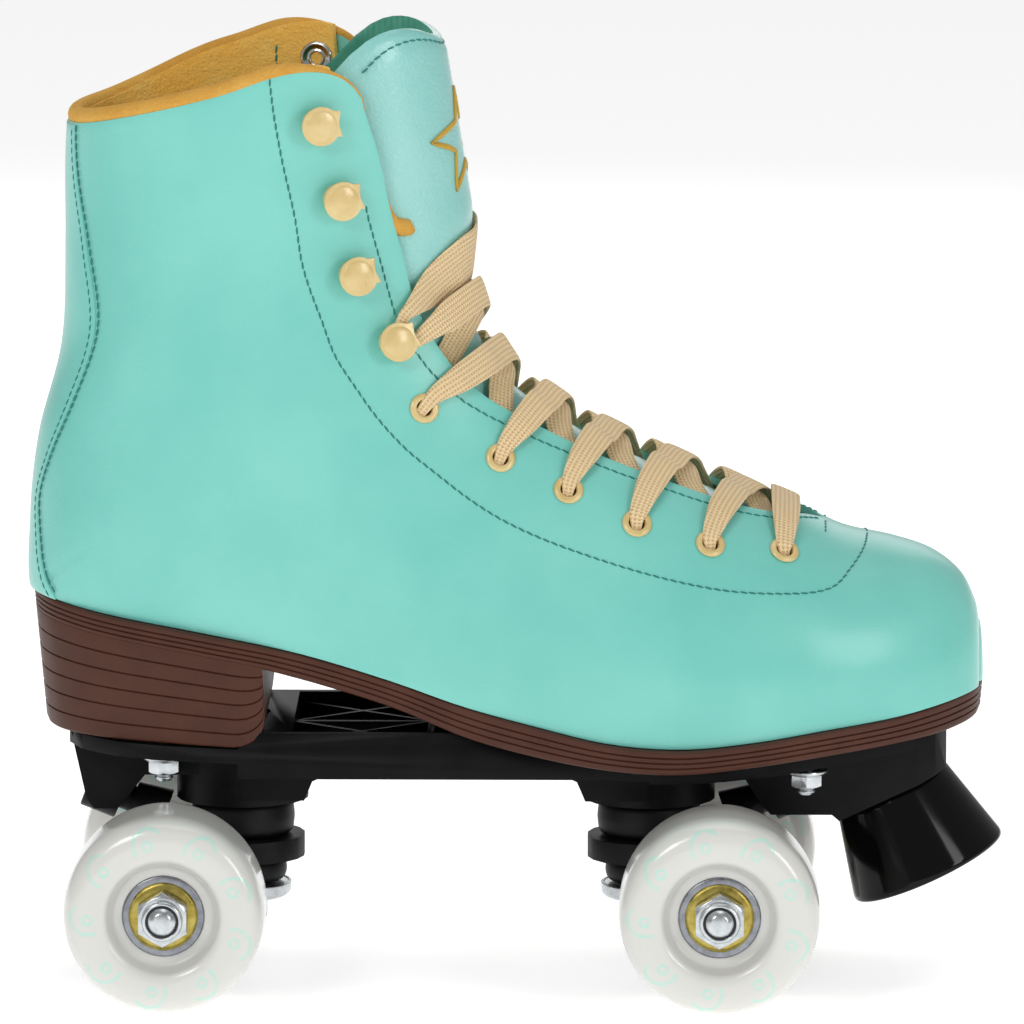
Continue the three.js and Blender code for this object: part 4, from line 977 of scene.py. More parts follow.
def band_mesh(name, path, ups, half_widths, half_heights, material, sides, squareness):
    """A flat or round band along a path, with UVs in millimetres across and along it."""
    count = len(path)
    tangents = []
    for i in range(count):
        tangents.append((path[min(i + 1, count - 1)] - path[max(i - 1, 0)]).normalized())
    sides_of = []
    for i in range(count):
        across = tangents[i].cross(ups[i])
        if across.length < STEEP_TURN and sides_of:
            across = sides_of[-1] - tangents[i] * sides_of[-1].dot(tangents[i])
        across.normalize()
        if sides_of and across.dot(sides_of[-1]) < 0:
            across = -across
        sides_of.append(across)
    for _ in range(BAND_RELAXING):
        relaxed = [sides_of[0]]
        for i in range(1, count - 1):
            mixed = sides_of[i - 1] + sides_of[i] * 2 + sides_of[i + 1]
            relaxed.append((mixed - tangents[i] * mixed.dot(tangents[i])).normalized())
        sides_of = relaxed + [sides_of[-1]]
    verts = []
    faces = []
    uvs = []
    run = 0.0
    for i in range(count):
        if i:
            run += (path[i] - path[i - 1]).length / MM
        lift = sides_of[i].cross(tangents[i]).normalized()
        for k in range(sides):
            angle = 2 * math.pi * k / sides
            u = math.copysign(abs(math.cos(angle)) ** (2 / squareness), math.cos(angle))
            v = math.copysign(abs(math.sin(angle)) ** (2 / squareness), math.sin(angle))
            verts.append(path[i] + sides_of[i] * (u * half_widths[i] * MM) + lift * (v * half_heights[i] * MM))
            uvs.append((u * half_widths[i], run))
    for i in range(count - 1):
        for k in range(sides):
            a = i * sides + k
            b = i * sides + (k + 1) % sides
            faces.append((a, b, b + sides, a + sides))
    faces.append(tuple(range(sides))[::-1])
    faces.append(tuple(range((count - 1) * sides, count * sides)))
    piece = from_mesh(name, verts, faces, material)
    layer = piece.data.uv_layers.new(name="weave")
    for loop in piece.data.loops:
        layer.data[loop.index].uv = uvs[loop.vertex_index]
    faced_outwards(piece)
    return piece


STITCH_PITCH = 2.4
STITCH_LENGTH = 2.2
STITCH_RADIUS = 0.27
STITCH_SLANT = 0.12
STITCH_SIDES = 6
# [share of the length from the middle, girth as a share of the radius]
STITCH_RINGS = [(-0.5, 0.35), (-0.3, 0.9), (0, 1.05), (0.3, 0.9), (0.5, 0.35)]


def stitches(name, lines, material):
    """Single stitches along lines of (point, outward normal), joined as one piece."""
    verts = []
    faces = []
    sides = STITCH_SIDES
    for line in lines:
        points = [point for point, _ in line]
        lengths = [0.0]
        for a, b in zip(points, points[1:]):
            lengths.append(lengths[-1] + (b - a).length / MM)
        for k in range(int(lengths[-1] / STITCH_PITCH)):
            middle = (k + 0.5) * STITCH_PITCH
            i = max(j for j in range(len(lengths)) if lengths[j] <= middle)
            i = min(i, len(points) - 2)
            t = (middle - lengths[i]) / max(lengths[i + 1] - lengths[i], 1e-6)
            centre = points[i].lerp(points[i + 1], t)
            along = (points[i + 1] - points[i]).normalized()
            normal = line[i][1].lerp(line[i + 1][1], t).normalized()
            side = along.cross(normal).normalized()
            along = (along + side * STITCH_SLANT).normalized()
            side = along.cross(normal).normalized()
            start = len(verts)
            for share, girth in STITCH_RINGS:
                sink = 0.28 - 0.75 * abs(share)
                base = centre + along * (share * STITCH_LENGTH * MM) + normal * (sink * STITCH_RADIUS * MM)
                for s in range(sides):
                    angle = 2 * math.pi * s / sides
                    ring = side * math.cos(angle) + normal * math.sin(angle)
                    verts.append(base + ring * (STITCH_RADIUS * girth * MM))
            for r in range(len(STITCH_RINGS) - 1):
                for s in range(sides):
                    a = start + r * sides + s
                    b = start + r * sides + (s + 1) % sides
                    faces.append((a, b, b + sides, a + sides))
            faces.append(tuple(start + s for s in range(sides))[::-1])
            faces.append(tuple(start + (len(STITCH_RINGS) - 1) * sides + s for s in range(sides)))
    piece = from_mesh(name, verts, faces, material)
    faced_outwards(piece)
    return piece


def surface_line(rows, side, inset=0.0, step=0.1, by_y=False):
    """A smooth line on the boot through rows of [place, turn] or [place, y], as (point, normal) pairs."""
    keys = [Vector((place, value, 0)) for place, value in rows]
    line = []
    for key in smooth_path(keys, max(int(1 / step), 2)):
        turn = turn_across(key.x, key.y, inset) if by_y else key.y
        line.append((boot_point(key.x, side * turn, inset), outward_at(key.x, side * turn, inset)))
    return line


# Lines on the boot: [place, turn] for the eyestay's seam and the backstay's edge.
EYESTAY_SEAM = [
    [19.25, 1.40], [17.8, 1.34], [15.5, 1.18], [13.4, 1.06], [11.6, 1.08], [10.2, 1.10], [8.3, 1.04],
    [6.4, 0.98], [5.3, 0.85], [4.85, 0.62], [4.58, 0.33], [4.5, 0],
]
BACKSTAY = [
    [13.95, 2.58], [14.6, 2.72], [15.2, 2.8], [15.7, 2.66], [16.2, 2.5], [17, 2.43], [17.8, 2.54],
    [18.6, 2.68], [19.1, 2.75], [19.35, 2.77],
]
SEAM_SETBACK = 2.7
# [place, y] across the foot of the throat
THROAT_TACK = [[5.36, 3.2], [5.36, 8], [5.36, 12.8]]


def throat_seam(side):
    """The seam beside the throat's edge."""
    places = [5.5, 5.6, 5.8, 6, 6.3, 6.8, 7.5, 8.5, 9.5, 10.5, 11.5, 12.5, 13.5, 14.5, 15.6, 16.4]
    rows = [[place, throat_half_width(place) + SEAM_SETBACK] for place in places]
    return surface_line(rows, side, 0, 0.34, True)


def add_seams():
    lines = []
    for side in (-1, 1):
        lines.append(surface_line(EYESTAY_SEAM, side))
        lines.append(throat_seam(side))
        for offset in (0.05, -0.03):
            lines.append(surface_line([[place, turn + offset] for place, turn in BACKSTAY], side, -0.4))
        lines.append(surface_line(THROAT_TACK, side, 0, 0.25, True))
    seams = stitches("upper_stitching", lines, SEAM_THREAD)
    settled(seams, "boot", "upper")


BACKSTAY_THICKNESS = 0.5
BACKSTAY_BED = 0.4
BACKSTAY_COLUMNS = 28
BACKSTAY_ROWS = 52


def add_backstay():
    """The strip sewn up the back of the shaft, standing a little proud of the upper."""
    verts = []
    for k in range(BACKSTAY_COLUMNS + 1):
        share = 2 * k / BACKSTAY_COLUMNS - 1

        def turn_at(place):
            return math.pi + share * (math.pi - through(BACKSTAY, place))

        def below_collar(place):
            x, _, z = boot_point_mm(place, turn_at(place))
            return through(COLLAR, x) - 0.3 - z

        def below_sole(place):
            x, _, z = boot_point_mm(place, turn_at(place))
            return sole_top_z(x) + GAP - z

        top = found(17, 19.9, below_collar)
        low = found(13, 16, below_sole)
        for row in range(BACKSTAY_ROWS + 1):
            place = low + (top - low) * row / BACKSTAY_ROWS
            verts.append(boot_point(place, turn_at(place), -BACKSTAY_THICKNESS))
    height = BACKSTAY_ROWS + 1
    faces = []
    for column in range(BACKSTAY_COLUMNS):
        for a in range(column * height, column * height + BACKSTAY_ROWS):
            faces.append((a, a + height, a + height + 1, a + 1))
    strip = from_mesh("backstay", verts, faces, LEATHER)
    with worked(strip) as work:
        bmesh.ops.recalc_face_normals(work, faces=work.faces)
        if sum(face.normal.x for face in work.faces) > 0:
            bmesh.ops.reverse_faces(work, faces=work.faces)
    applied(strip, "SOLIDIFY", thickness=(BACKSTAY_THICKNESS + BACKSTAY_BED) * MM, offset=-1)
    bevelled(strip, 0.35, 2, 55)
    smoothed(strip, 50)
    settled(strip, "boot", "upper")


ROLL_INSET = 2.3
ROLL_RADIUS = 2.4
ROLL_RISE = 0.7
ROLL_FOOT = 15.22
ROLL_FULL = 17.2
EDGE_DEPTH = 1.2
EDGE_RADIUS = 0.95
COLLAR_STEPS = 56


def collar_path():
    """The binding's middle line: up one throat edge, round the collar and down the other."""
    skin = Skin(0.0)
    halves = []
    for side in (-1, 1):
        half = []
        for place in spaced(ROLL_FOOT, ROLL_FULL, 12):
            low = 1 - smooth(ROLL_FOOT, ROLL_FULL, place)
            y = throat_half_width(place) - 1.4 * low - 2.6 * (1 - smooth(ROLL_FOOT, ROLL_FOOT + 0.45, place))
            turn = side * turn_across(place, y, EDGE_DEPTH)
            half.append((boot_point(place, turn, EDGE_DEPTH + low), EDGE_RADIUS + 0.55 * low,
                         outward_at(place, turn)))
        for k in range(COLLAR_STEPS + 1):
            share = (k / COLLAR_STEPS) ** 1.25
            place = skin.top_place(share, side)
            turn = side * skin.turn(place, share)
            grown = smooth(0.03, 0.24, share)
            point = boot_point(place, turn, EDGE_DEPTH + (ROLL_INSET - EDGE_DEPTH) * grown)
            radius = EDGE_RADIUS + (ROLL_RADIUS - EDGE_RADIUS) * grown
            half.append((point + Vector((0, 0, ROLL_RISE * MM * grown)), radius, outward_at(place, turn)))
        halves.append(half)
    return halves[0] + halves[1][-2::-1]


LINING_SEAM = [[18.1, 1.4], [18.7, 1.4], [19.35, 1.4]]
ROLL_END_RADII = (1.0, 2.2, 2.3, 1.9)


def add_lining_seam():
    """The seam down the inside of the inner wall."""
    line = surface_line(LINING_SEAM, 1, INNER_INSET + 0.25, 0.3)
    flipped = [(point, -normal) for point, normal in line]
    settled(stitches("lining_stitching", [flipped], SEAM_THREAD), "boot", "lining")


def add_collar_roll():
    """The padded binding, ending in a soft knob low on each throat edge."""
    path, radii, normals = (list(part) for part in zip(*collar_path()))
    for k, radius in enumerate(ROLL_END_RADII):
        radii[k] = radius
        radii[-1 - k] = radius
    roll = band_mesh("collar_binding", path, normals, [radius * 1.1 for radius in radii], radii, FLEECE, 16, 2)
    smoothed(roll, 60)
    settled(roll, "boot", "lining")


# ---------------------------------------------------------------- tongue

TONGUE_FOOT = 6.0
TONGUE_COLUMNS = 30
TONGUE_LOW_ROWS = 40
TONGUE_HIGH_ROWS = 46
TONGUE_SWELL = 8.8
TONGUE_SWELL_PLACES = [12.2, 14.9]
TONGUE_SEAM_DEPTH = 0.6
TONGUE_SEAM_DROP = 3.6


def tongue_half_width(place):
    return min(throat_half_width(place) + TONGUE_OVERLAP, TONGUE_MAX_HALF_WIDTH)


def tongue_inset(place, share):
    """How deep the tongue's outer face lies: it swells forwards above the lace, most in the middle."""
    return TONGUE_INSET - TONGUE_SWELL * smooth(*TONGUE_SWELL_PLACES, place) * (1 - 0.88 * share ** 2)


def tongue_top(share):
    """The place at which the tongue ends, share of the way to its edge."""
    def below(place):
        y = share * tongue_half_width(place)
        inset = tongue_inset(place, share)
        x, _, z = boot_point_mm(place, turn_across(place, y, inset), inset)
        return through(TONGUE_TOP, x) - z

    return found(17, LAST_PLACE, below)


def add_tongue():
    """A padded leather tongue with a thin sewn border, knit inside and over its top edge."""
    shares = [2 * k / TONGUE_COLUMNS - 1 for k in range(TONGUE_COLUMNS + 1)]
    tops = [tongue_top(share) for share in shares]
    low = spaced(TONGUE_FOOT, SHAFT_START, TONGUE_LOW_ROWS)
    loops = []
    for r in range(TONGUE_LOW_ROWS + TONGUE_HIGH_ROWS + 1):
        outer = []
        inner = []
        for share, top in zip(shares, tops):
            if r < TONGUE_LOW_ROWS:
                place = low[r]
            else:
                place = SHAFT_START + (top - SHAFT_START) * (r - TONGUE_LOW_ROWS) / TONGUE_HIGH_ROWS
            y = share * tongue_half_width(place)
            rim = (1 - abs(share)) * tongue_half_width(place)
            crest_left = (top - place) * SHAFT_SPACING
            full = math.sqrt(max(1 - max(1 - rim / 3.0, 0) ** 2, 0.02))
            cap = math.sqrt(max(1 - max(1 - crest_left / 5.0, 0) ** 2, 0.0))
            seam = TONGUE_SEAM_DEPTH * math.exp(-((crest_left - TONGUE_SEAM_DROP) / 1.4) ** 2)
            thick = TONGUE_THICKNESS * (0.42 + 0.58 * smooth(1.5, 7, rim)) * full * cap
            middle = tongue_inset(place, share) + TONGUE_THICKNESS / 2
            outer.append(boot_across(place, y, middle - thick / 2 + seam))
            inner.append(boot_across(place, y, middle + thick / 2))
        loops.append(outer + inner[::-1])
    width = len(loops[0])
    verts = [point for loop in loops for point in loop]
    faces = []
    knit = []
    columns = len(shares)
    for r in range(len(loops) - 1):
        for c in range(width):
            a, b = r * width + c, r * width + (c + 1) % width
            faces.append((a, b, b + width, a + width))
            knit.append(0 if c < columns - 1 else 1)
    faces.append(tuple(range(width))[::-1])
    knit.append(0)
    last = (len(loops) - 1) * width
    for c in range(columns - 1):
        faces.append((last + c, last + c + 1, last + width - 2 - c, last + width - 1 - c))
        knit.append(1)
    tongue = from_mesh("tongue_pad", verts, faces, [TONGUE_LEATHER, KNIT])
    tongue.data.polygons.foreach_set("material_index", knit)
    with worked(tongue) as work:
        bmesh.ops.remove_doubles(work, verts=work.verts, dist=WELD)
        bmesh.ops.recalc_face_normals(work, faces=work.faces)
    smoothed(tongue, 60)
    settled(tongue, "boot", "tongue", "tongue")


def add_tongue_stitching():
    """The seam that closes the tongue's top edge."""
    line = []
    for k in range(-18, 19):
        share = k / 20
        place = tongue_top(share) - 0.3
        line.append(Vector((place, share * tongue_half_width(place), 0)))
    points = []
    for key in smooth_path(line, 4):
        inset = tongue_inset(key.x, key.y / tongue_half_width(key.x))
        turn = turn_across(key.x, key.y, inset)
        points.append((boot_point(key.x, turn, inset + TONGUE_SEAM_DEPTH), outward_at(key.x, turn, inset)))
    piece = stitches("tongue_stitching", [points], SEAM_THREAD)
    settled(piece, "boot", "tongue")


STAR_PLACE = 16.3
STAR_Y = -1.5
STAR_RADII = [14, 6.4]
STAR_LINE = [0.9, 0.45]


def add_emblem():
    """A plain five-pointed star in satin stitch on the tongue."""
    place = STAR_PLACE
    depth = tongue_inset(place, 0)
    turn = turn_across(place, STAR_Y, depth)
    centre = boot_point(place, turn, depth - 0.1)
    normal = outward_at(place, turn, depth)
    up = (boot_point(place + 0.3, turn, tongue_inset(place + 0.3, 0))
          - boot_point(place - 0.3, turn, tongue_inset(place - 0.3, 0))).normalized()
    side = up.cross(normal).normalized()
    corners = []
    for k in range(10):
        angle = math.pi / 2 + math.pi * k / 5
        corners.append(centre + (side * math.cos(angle) + up * math.sin(angle)) * (STAR_RADII[k % 2] * MM))
    path = []
    for a, b in zip(corners, corners[1:] + corners[:1]):
        path.extend(a.lerp(b, t / 6) for t in range(6))
    path.append(path[0].copy())
    pressed = []
    for point in path:
        flat = point - centre
        across = flat.dot(side) / MM
        rise = flat.dot(up) / MM
        spot = place + rise / 12.2
        y = STAR_Y + across * (1 if side.y > 0 else -1)
        depth = tongue_inset(spot, y / tongue_half_width(spot))
        pressed.append(boot_point(spot, turn_across(spot, y, depth), depth - 0.15))
    count = len(pressed)
    star = band_mesh("tongue_star", pressed, [normal] * count, [STAR_LINE[0]] * count, [STAR_LINE[1]] * count,
                     GOLD_THREAD, 8, 2)
    settled(star, "boot", "tongue")


# ---------------------------------------------------------------- lace

LACE_CLEARANCE = 1.6
LACE_OVER = -LACE_CLEARANCE - 0.8
LACE_UNDER = UPPER_WALL + LACE_CLEARANCE + 0.3
LACE_LOW = TONGUE_INSET - LACE_CLEARANCE - 0.2
LACE_HIGH = LACE_LOW - 2.5
LACE_HALF_WIDTH = 4.3
LACE_HALF_HEIGHT = 0.62
LACE_HEIGHT_ON_TONGUE = 1.3
LACE_SLANT = 0.22
LACE_STEPS = 7
# [share of the throat's half width, lift off the tongue] from the side that the lace comes from
CROSSING_LIFTS = ((0.55, 0.8), (0.25, 1.9), (0, 2.3), (-0.25, 2.2), (-0.55, 1.8))
# [place above the hook, share of the tongue's half width, half width] for the strand across the tongue
TOP_STRAND = [
    (0.35, -0.66, 5.6), (0.3, -0.4, 7.0), (0.25, -0.15, 7.4), (0.4, 0.15, 7.0), (0.8, 0.45, 6.0),
]
HOOK_POST_RADIUS = 2.4


def knot_point(place, y, inset, half_width=LACE_HALF_WIDTH, half_height=LACE_HALF_HEIGHT):
    """A point of the lace: where it lies, its outward normal and its half sizes there."""
    return boot_across(place, y, inset), outward_at(place, turn_across(place, y)), half_width, half_height


def into_eyelet(from_place, place, y, side):
    """Over the leather and down through an eyelet."""
    step = (place - from_place) * LACE_SLANT
    edge = throat_half_width(place - step)
    return [
        knot_point(place - step * 1.25, side * edge * 0.8, LACE_OVER + 0.6),
        knot_point(place - step * 0.5, side * (edge + y) / 2, LACE_OVER, 3.7),
        knot_point(place, side * (y - 0.6), LACE_OVER + 1.1, 2.4, 0.8),
        knot_point(place, side * y, 0.8, 1.5, 1.0),
        knot_point(place, side * (y - 0.2), LACE_UNDER, 2.2, 0.8),
    ]


def out_from_under(place, y, rise, side, middle=0.5, slope=0.28):
    """Out past the throat's edge and over the tongue, to near the other edge."""
    edge = throat_half_width(place + rise * 0.2)
    depth = LACE_HIGH if side > 0 else LACE_LOW
    points = [
        knot_point(place + rise * 0.04, side * max(y - 4, edge + 1), LACE_UNDER, 3.0),
        knot_point(place + rise * (middle - slope) * 0.6, side * (edge - 1), LACE_UNDER, 3.4),
    ]
    for share, lift in CROSSING_LIFTS:
        points.append(knot_point(place + rise * (middle - slope * share), side * edge * share, depth - lift))
    return points


def crossing(k, side):
    place, y = eyelet_at(k)
    next_place, next_y = eyelet_at(k + 1)
    return out_from_under(place, y, next_place - place, side) + into_eyelet(place, next_place, next_y, -side)


def round_hook(side):
    """From the last eyelet across to the first hook on the other side and round behind its post."""
    place, y = eyelet_at(len(EYELETS) - 1)
    hook_place, setback = HOOK
    hook_y = throat_half_width(hook_place) + setback
    rise = hook_place - place
    radius = (HOOK_POST_RADIUS + LACE_CLEARANCE) * MM
    centre = boot_across(hook_place, -side * hook_y, LACE_OVER)
    up = (boot_across(hook_place + 0.5, -side * hook_y, LACE_OVER) - centre).normalized()
    inwards = (boot_across(hook_place, -side * (hook_y - 4), LACE_OVER) - centre).normalized()
    normal = outward_at(hook_place, turn_across(hook_place, -side * hook_y))
    low_place = place + rise * 0.66
    edge_place = place + rise * 0.72
    points = out_from_under(place, y, rise, side, 0.45, 0.25)
    points.append(knot_point(low_place, -side * (throat_half_width(low_place) - 3), LACE_OVER + 1))
    points.append(knot_point(edge_place, -side * (throat_half_width(edge_place) + 1.5), LACE_OVER, 3.0))
    for degrees in (-110, -155, -200, -245):
        angle = math.radians(degrees)
        point = centre + inwards * (math.cos(angle) * radius) + up * (math.sin(angle) * radius)
        points.append((point, normal, 1.7, 0.9))
    points.append(knot_point(hook_place + 0.35, -side * (throat_half_width(hook_place) + 3), LACE_OVER, 2.6))
    return points


def tucked_end(place, y):
    """Round the throat's edge and down behind the leather."""
    return [
        knot_point(place, y - 6.5, LACE_OVER + 1.4),
        knot_point(place - 0.05, y - 6.5, LACE_UNDER + 0.2),
        knot_point(place - 0.25, y, LACE_UNDER),
        knot_point(place - 0.6, y, LACE_UNDER),
        knot_point(place - 1, y, LACE_UNDER),
    ]


def tongue_knot(place, share, half_width):
    """A point of the lace where it lies on the swollen tongue, share of the way to the tongue's edge."""
    def skin(at, across):
        depth = tongue_inset(at, across) - LACE_HEIGHT_ON_TONGUE
        return boot_across(at, across * tongue_half_width(at), depth)

    up = skin(place + 0.05, share) - skin(place - 0.05, share)
    round_ = skin(place, share + 0.03) - skin(place, share - 0.03)
    return skin(place, share), round_.cross(up).normalized(), half_width, LACE_HALF_HEIGHT


def lace_route():
    """From one tucked end, through every eyelet and across the toe, to the other."""
    place, y = eyelet_at(0)
    halves = []
    for start_side in (-1, 1):
        points = into_eyelet(place, place, y, start_side)
        side = start_side
        for k in range(len(EYELETS) - 1):
            points += crossing(k, side)
            side = -side
        points += round_hook(side)
        halves.append(points)
    outer_hook, inner_hook = halves
    high_tuck = HOOK[0] + 1.7
    outer_hook += [tongue_knot(HOOK[0] + above, share, half_width) for above, share, half_width in TOP_STRAND]
    outer_hook += tucked_end(high_tuck, throat_half_width(high_tuck) + 4)[1:]
    low_tuck = HOOK[0] + 0.5
    inner_hook += tucked_end(low_tuck, throat_half_width(low_tuck) + 4)
    return inner_hook[::-1] + [knot_point(place, 0, LACE_OVER + 1)] + outer_hook


def add_lace():
    """One flat lace through every eyelet, round the first pair of hooks and tucked in at both ends."""
    route = lace_route()
    path = smooth_path([point for point, _, _, _ in route], LACE_STEPS)
    ups = smooth_path([normal for _, normal, _, _ in route], LACE_STEPS)
    sizes = smooth_path([Vector((width, height, 0)) for _, _, width, height in route], LACE_STEPS)
    lace = band_mesh("flat_lace", path, [up.normalized() for up in ups], [size.x for size in sizes],
                     [size.y for size in sizes], LACE, 14, 3)
    smoothed(lace, 60)
    settled(lace, "boot", "lace", "lace")


# ---------------------------------------------------------------- eyelets and hooks

# The hooks from the lowest pair up: [place, turn]. The top inner one stands higher than its partner.
TOP_INNER_HOOK_LIFT = 0.75
HOOKS = [[13.45, 0.84], [15.27, 0.98], [16.8, 1.06], [18.2, 1.16]]


def surface_matrix(place, turn, inset=0.0):
    """Local X towards the throat, Y up the boot and Z outwards, at a point of the surface."""
    origin = boot_point(place, turn, inset)
    normal = outward_at(place, turn, inset)
    step = -0.05 if turn > 0 else 0.05
    inward = boot_point(place, turn + step, inset) - origin
    inward = (inward - normal * inward.dot(normal)).normalized()
    up = normal.cross(inward).normalized()
    matrix = Matrix((inward, up, normal)).transposed().to_4x4()
    matrix.translation = origin
    return matrix


def add_eyelets():
    """Rolled flange rings with a short barrel through the leather."""
    profile = rounded([
        (2.15, -2.3), (2.15, 0.35), (2.5, 0.95), (3.3, 1.0), (4.0, 0.55), (4.1, 0.05), (2.5, -0.05),
        (2.5, -2.3), (2.15, -2.3),
    ], (1, 2, 3, 4, 5), 0.45, 3)
    ring = spun("eyelet", profile, ENAMEL, 32, 50)
    made = []
    for k in range(len(EYELETS)):
        place, y = eyelet_at(k)
        for side in (-1, 1):
            made.append(placed_copy(ring, "eyelet", surface_matrix(place, turn_across(place, side * y))))
    removed(ring)
    settled(joined("eyelets", made), "boot", "zinc")


HOOK_CAP_RADIUS = 5.3
HOOK_LIP = [
    (4.9, -2.9), (5.75, -3.1), (5.5, -1.8), (4.95, -0.2), (4.85, 1.2), (5.15, 2.8), (5.25, 4.0), (4.4, 4.05),
]
HOOK_LIP_TURN = -22


def hook_shape():
    """A lace hook: a riveted foot, a post and a domed cap with a lip towards the throat."""
    foot = spun("hook", rounded([
        (0, 0.7), (2.2, 0.7), (2.2, 0.9), (3.4, 0.8), (4.3, 0.1), (4.3, -0.1), (0, -0.1),
    ], (3, 4), 0.4, 2), ENAMEL, 28, 50)
    post = spun("hook_post", [(0, 0.2), (2.4, 0.2), (2.1, 1.4), (2.1, 3.0), (2.7, 4.0), (0, 4.0)], ENAMEL, 24, 50)
    post.data.transform(Matrix.Translation((-1.2 * MM, 0, 0)))
    outline = []
    for degrees in range(52, 329, 6):
        angle = math.radians(degrees)
        outline.append((HOOK_CAP_RADIUS * math.cos(angle), HOOK_CAP_RADIUS * math.sin(angle)))
    outline += HOOK_LIP
    cap = from_mesh("hook_cap", [(x * MM, y * MM, 3.8 * MM) for x, y in outline], [range(len(outline))], ENAMEL)
    applied(cap, "SOLIDIFY", thickness=0.95 * MM, offset=1)
    welded(cap)
    bevelled(cap, 0.22, 3, 40)
    smoothed(cap, 50)
    cap.data.transform(Matrix.Rotation(math.radians(HOOK_LIP_TURN), 4, "Z"))
    dome = spun("hook_dome", [(0, 5.4), (1.5, 5.33), (3.0, 5.12), (3.9, 4.9), (4.6, 4.62), (4.7, 4.3), (0, 4.3)],
                ENAMEL, 40, 60)
    return joined("hook", [foot, post, cap, dome])


def add_hooks():
    """The hooks, and the rivets that hold them from inside."""
    hook = hook_shape()
    rivet = spun("rivet", rounded([
        (1.4, -0.9), (1.6, 0.3), (2.0, 0.5), (2.6, 0.2), (3.3, 0.6), (4.0, 0.9), (4.6, 0.5), (4.7, -0.1),
        (1.4, -0.9),
    ], (1, 2, 3, 4, 5, 6), 0.4, 3), NICKEL, 36, 60)
    pin = spun("rivet_pin", [(0, -0.2), (1.5, -0.2)], NICKEL, 24, 60)
    hooks = []
    rivets = []
    inside_out = Matrix.Diagonal((1, -1, -1, 1))
    for outer_place, turn in HOOKS:
        for side in (-1, 1):
            highest = outer_place == HOOKS[-1][0]
            place = outer_place + (TOP_INNER_HOOK_LIFT if side > 0 and highest else 0)
            hooks.append(placed_copy(hook, "hook", surface_matrix(place, side * turn)))
            back = surface_matrix(place, side * turn, INNER_INSET + 0.1) @ inside_out
            rivets.append(placed_copy(rivet, "rivet", back))
            rivets.append(placed_copy(pin, "rivet_pin", back))
    for source in (hook, rivet, pin):
        removed(source)
    settled(joined("lace_hooks", hooks), "boot", "zinc")
    settled(joined("hook_rivets", rivets), "boot", "zinc")


# ---------------------------------------------------------------- sole

GROOVE_DEPTH = 0.45
GROOVE_HALF_WIDTH = 0.28
SLAB_GROOVES = (0.28, 0.5, 0.72)
HEEL_GROOVES = (0.16, 0.33, 0.5, 0.67, 0.84)
SOLE_STATIONS = 90
BREAST_RADIUS = 9


def sole_outline_point(x, side, z):
    """A point of the sole's side wall at height z, with the wall's draft."""
    rise = z - sole_top_z(x)
    half = through(SOLE_HALF_WIDTH, x)
    return Vector((x * (1 + rise * SOLE_DRAFT / 130), side * half * (1 + rise * SOLE_DRAFT / 40) + toe_shift(x), z))


def wall_rows(low_round, high_round, grooves):
    """Rows of (share of the height, millimetres added to it, inset) up a grooved wall."""
    rows = [(0, 0, low_round), (0, 0.15 * low_round, low_round * 0.45), (0, low_round * 0.5, low_round * 0.12),
            (0, low_round, 0)]
    for share in grooves:
        rows += [(share, -GROOVE_HALF_WIDTH, 0), (share, 0, GROOVE_DEPTH), (share, GROOVE_HALF_WIDTH, 0)]
    rows += [(1, -high_round, 0), (1, -high_round * 0.5, high_round * 0.12),
             (1, -0.15 * high_round, high_round * 0.45), (1, 0, high_round)]
    return rows


def layer_solid(name, stations, low_z, high_z, rows, material):
    """A closed layer of the sole: grooved walls on both sides and caps made of cross strips."""
    verts = []
    loops = []
    for share, add, inset in rows:
        loop = []
        for side, order in ((1, stations), (-1, stations[::-1])):
            for x in order:
                low, high = low_z(x), high_z(x)
                z = low + (high - low) * share + add
                here = sole_outline_point(x, side, z)
                ahead = sole_outline_point(min(x + 0.4, stations[-1]), side, z)
                behind = sole_outline_point(max(x - 0.4, stations[0]), side, z)
                tangent = ahead - behind
                tangent.z = 0
                if tangent.length < 1e-6:
                    tangent = Vector((0, 1, 0))
                tangent.normalize()
                inward = Vector((tangent.y, -tangent.x, 0)) * side
                point = here + inward * inset
                if side * (point.y - toe_shift(x)) < 0:
                    point.y = toe_shift(x)
                loop.append(len(verts))
                verts.append(to_frame(*point))
        loops.append(loop)
    faces = []
    count = len(loops[0])
    for a, b in zip(loops, loops[1:]):
        for k in range(count):
            n = (k + 1) % count
            faces.append((a[k], a[n], b[n], b[k]))
    half = count // 2
    for loop, flip in ((loops[0], True), (loops[-1], False)):
        for k in range(half - 1):
            quad = (loop[k], loop[k + 1], loop[count - 2 - k], loop[count - 1 - k])
            faces.append(quad[::-1] if flip else quad)
    piece = from_mesh(name, verts, faces, material)
    welded(piece)
    return piece


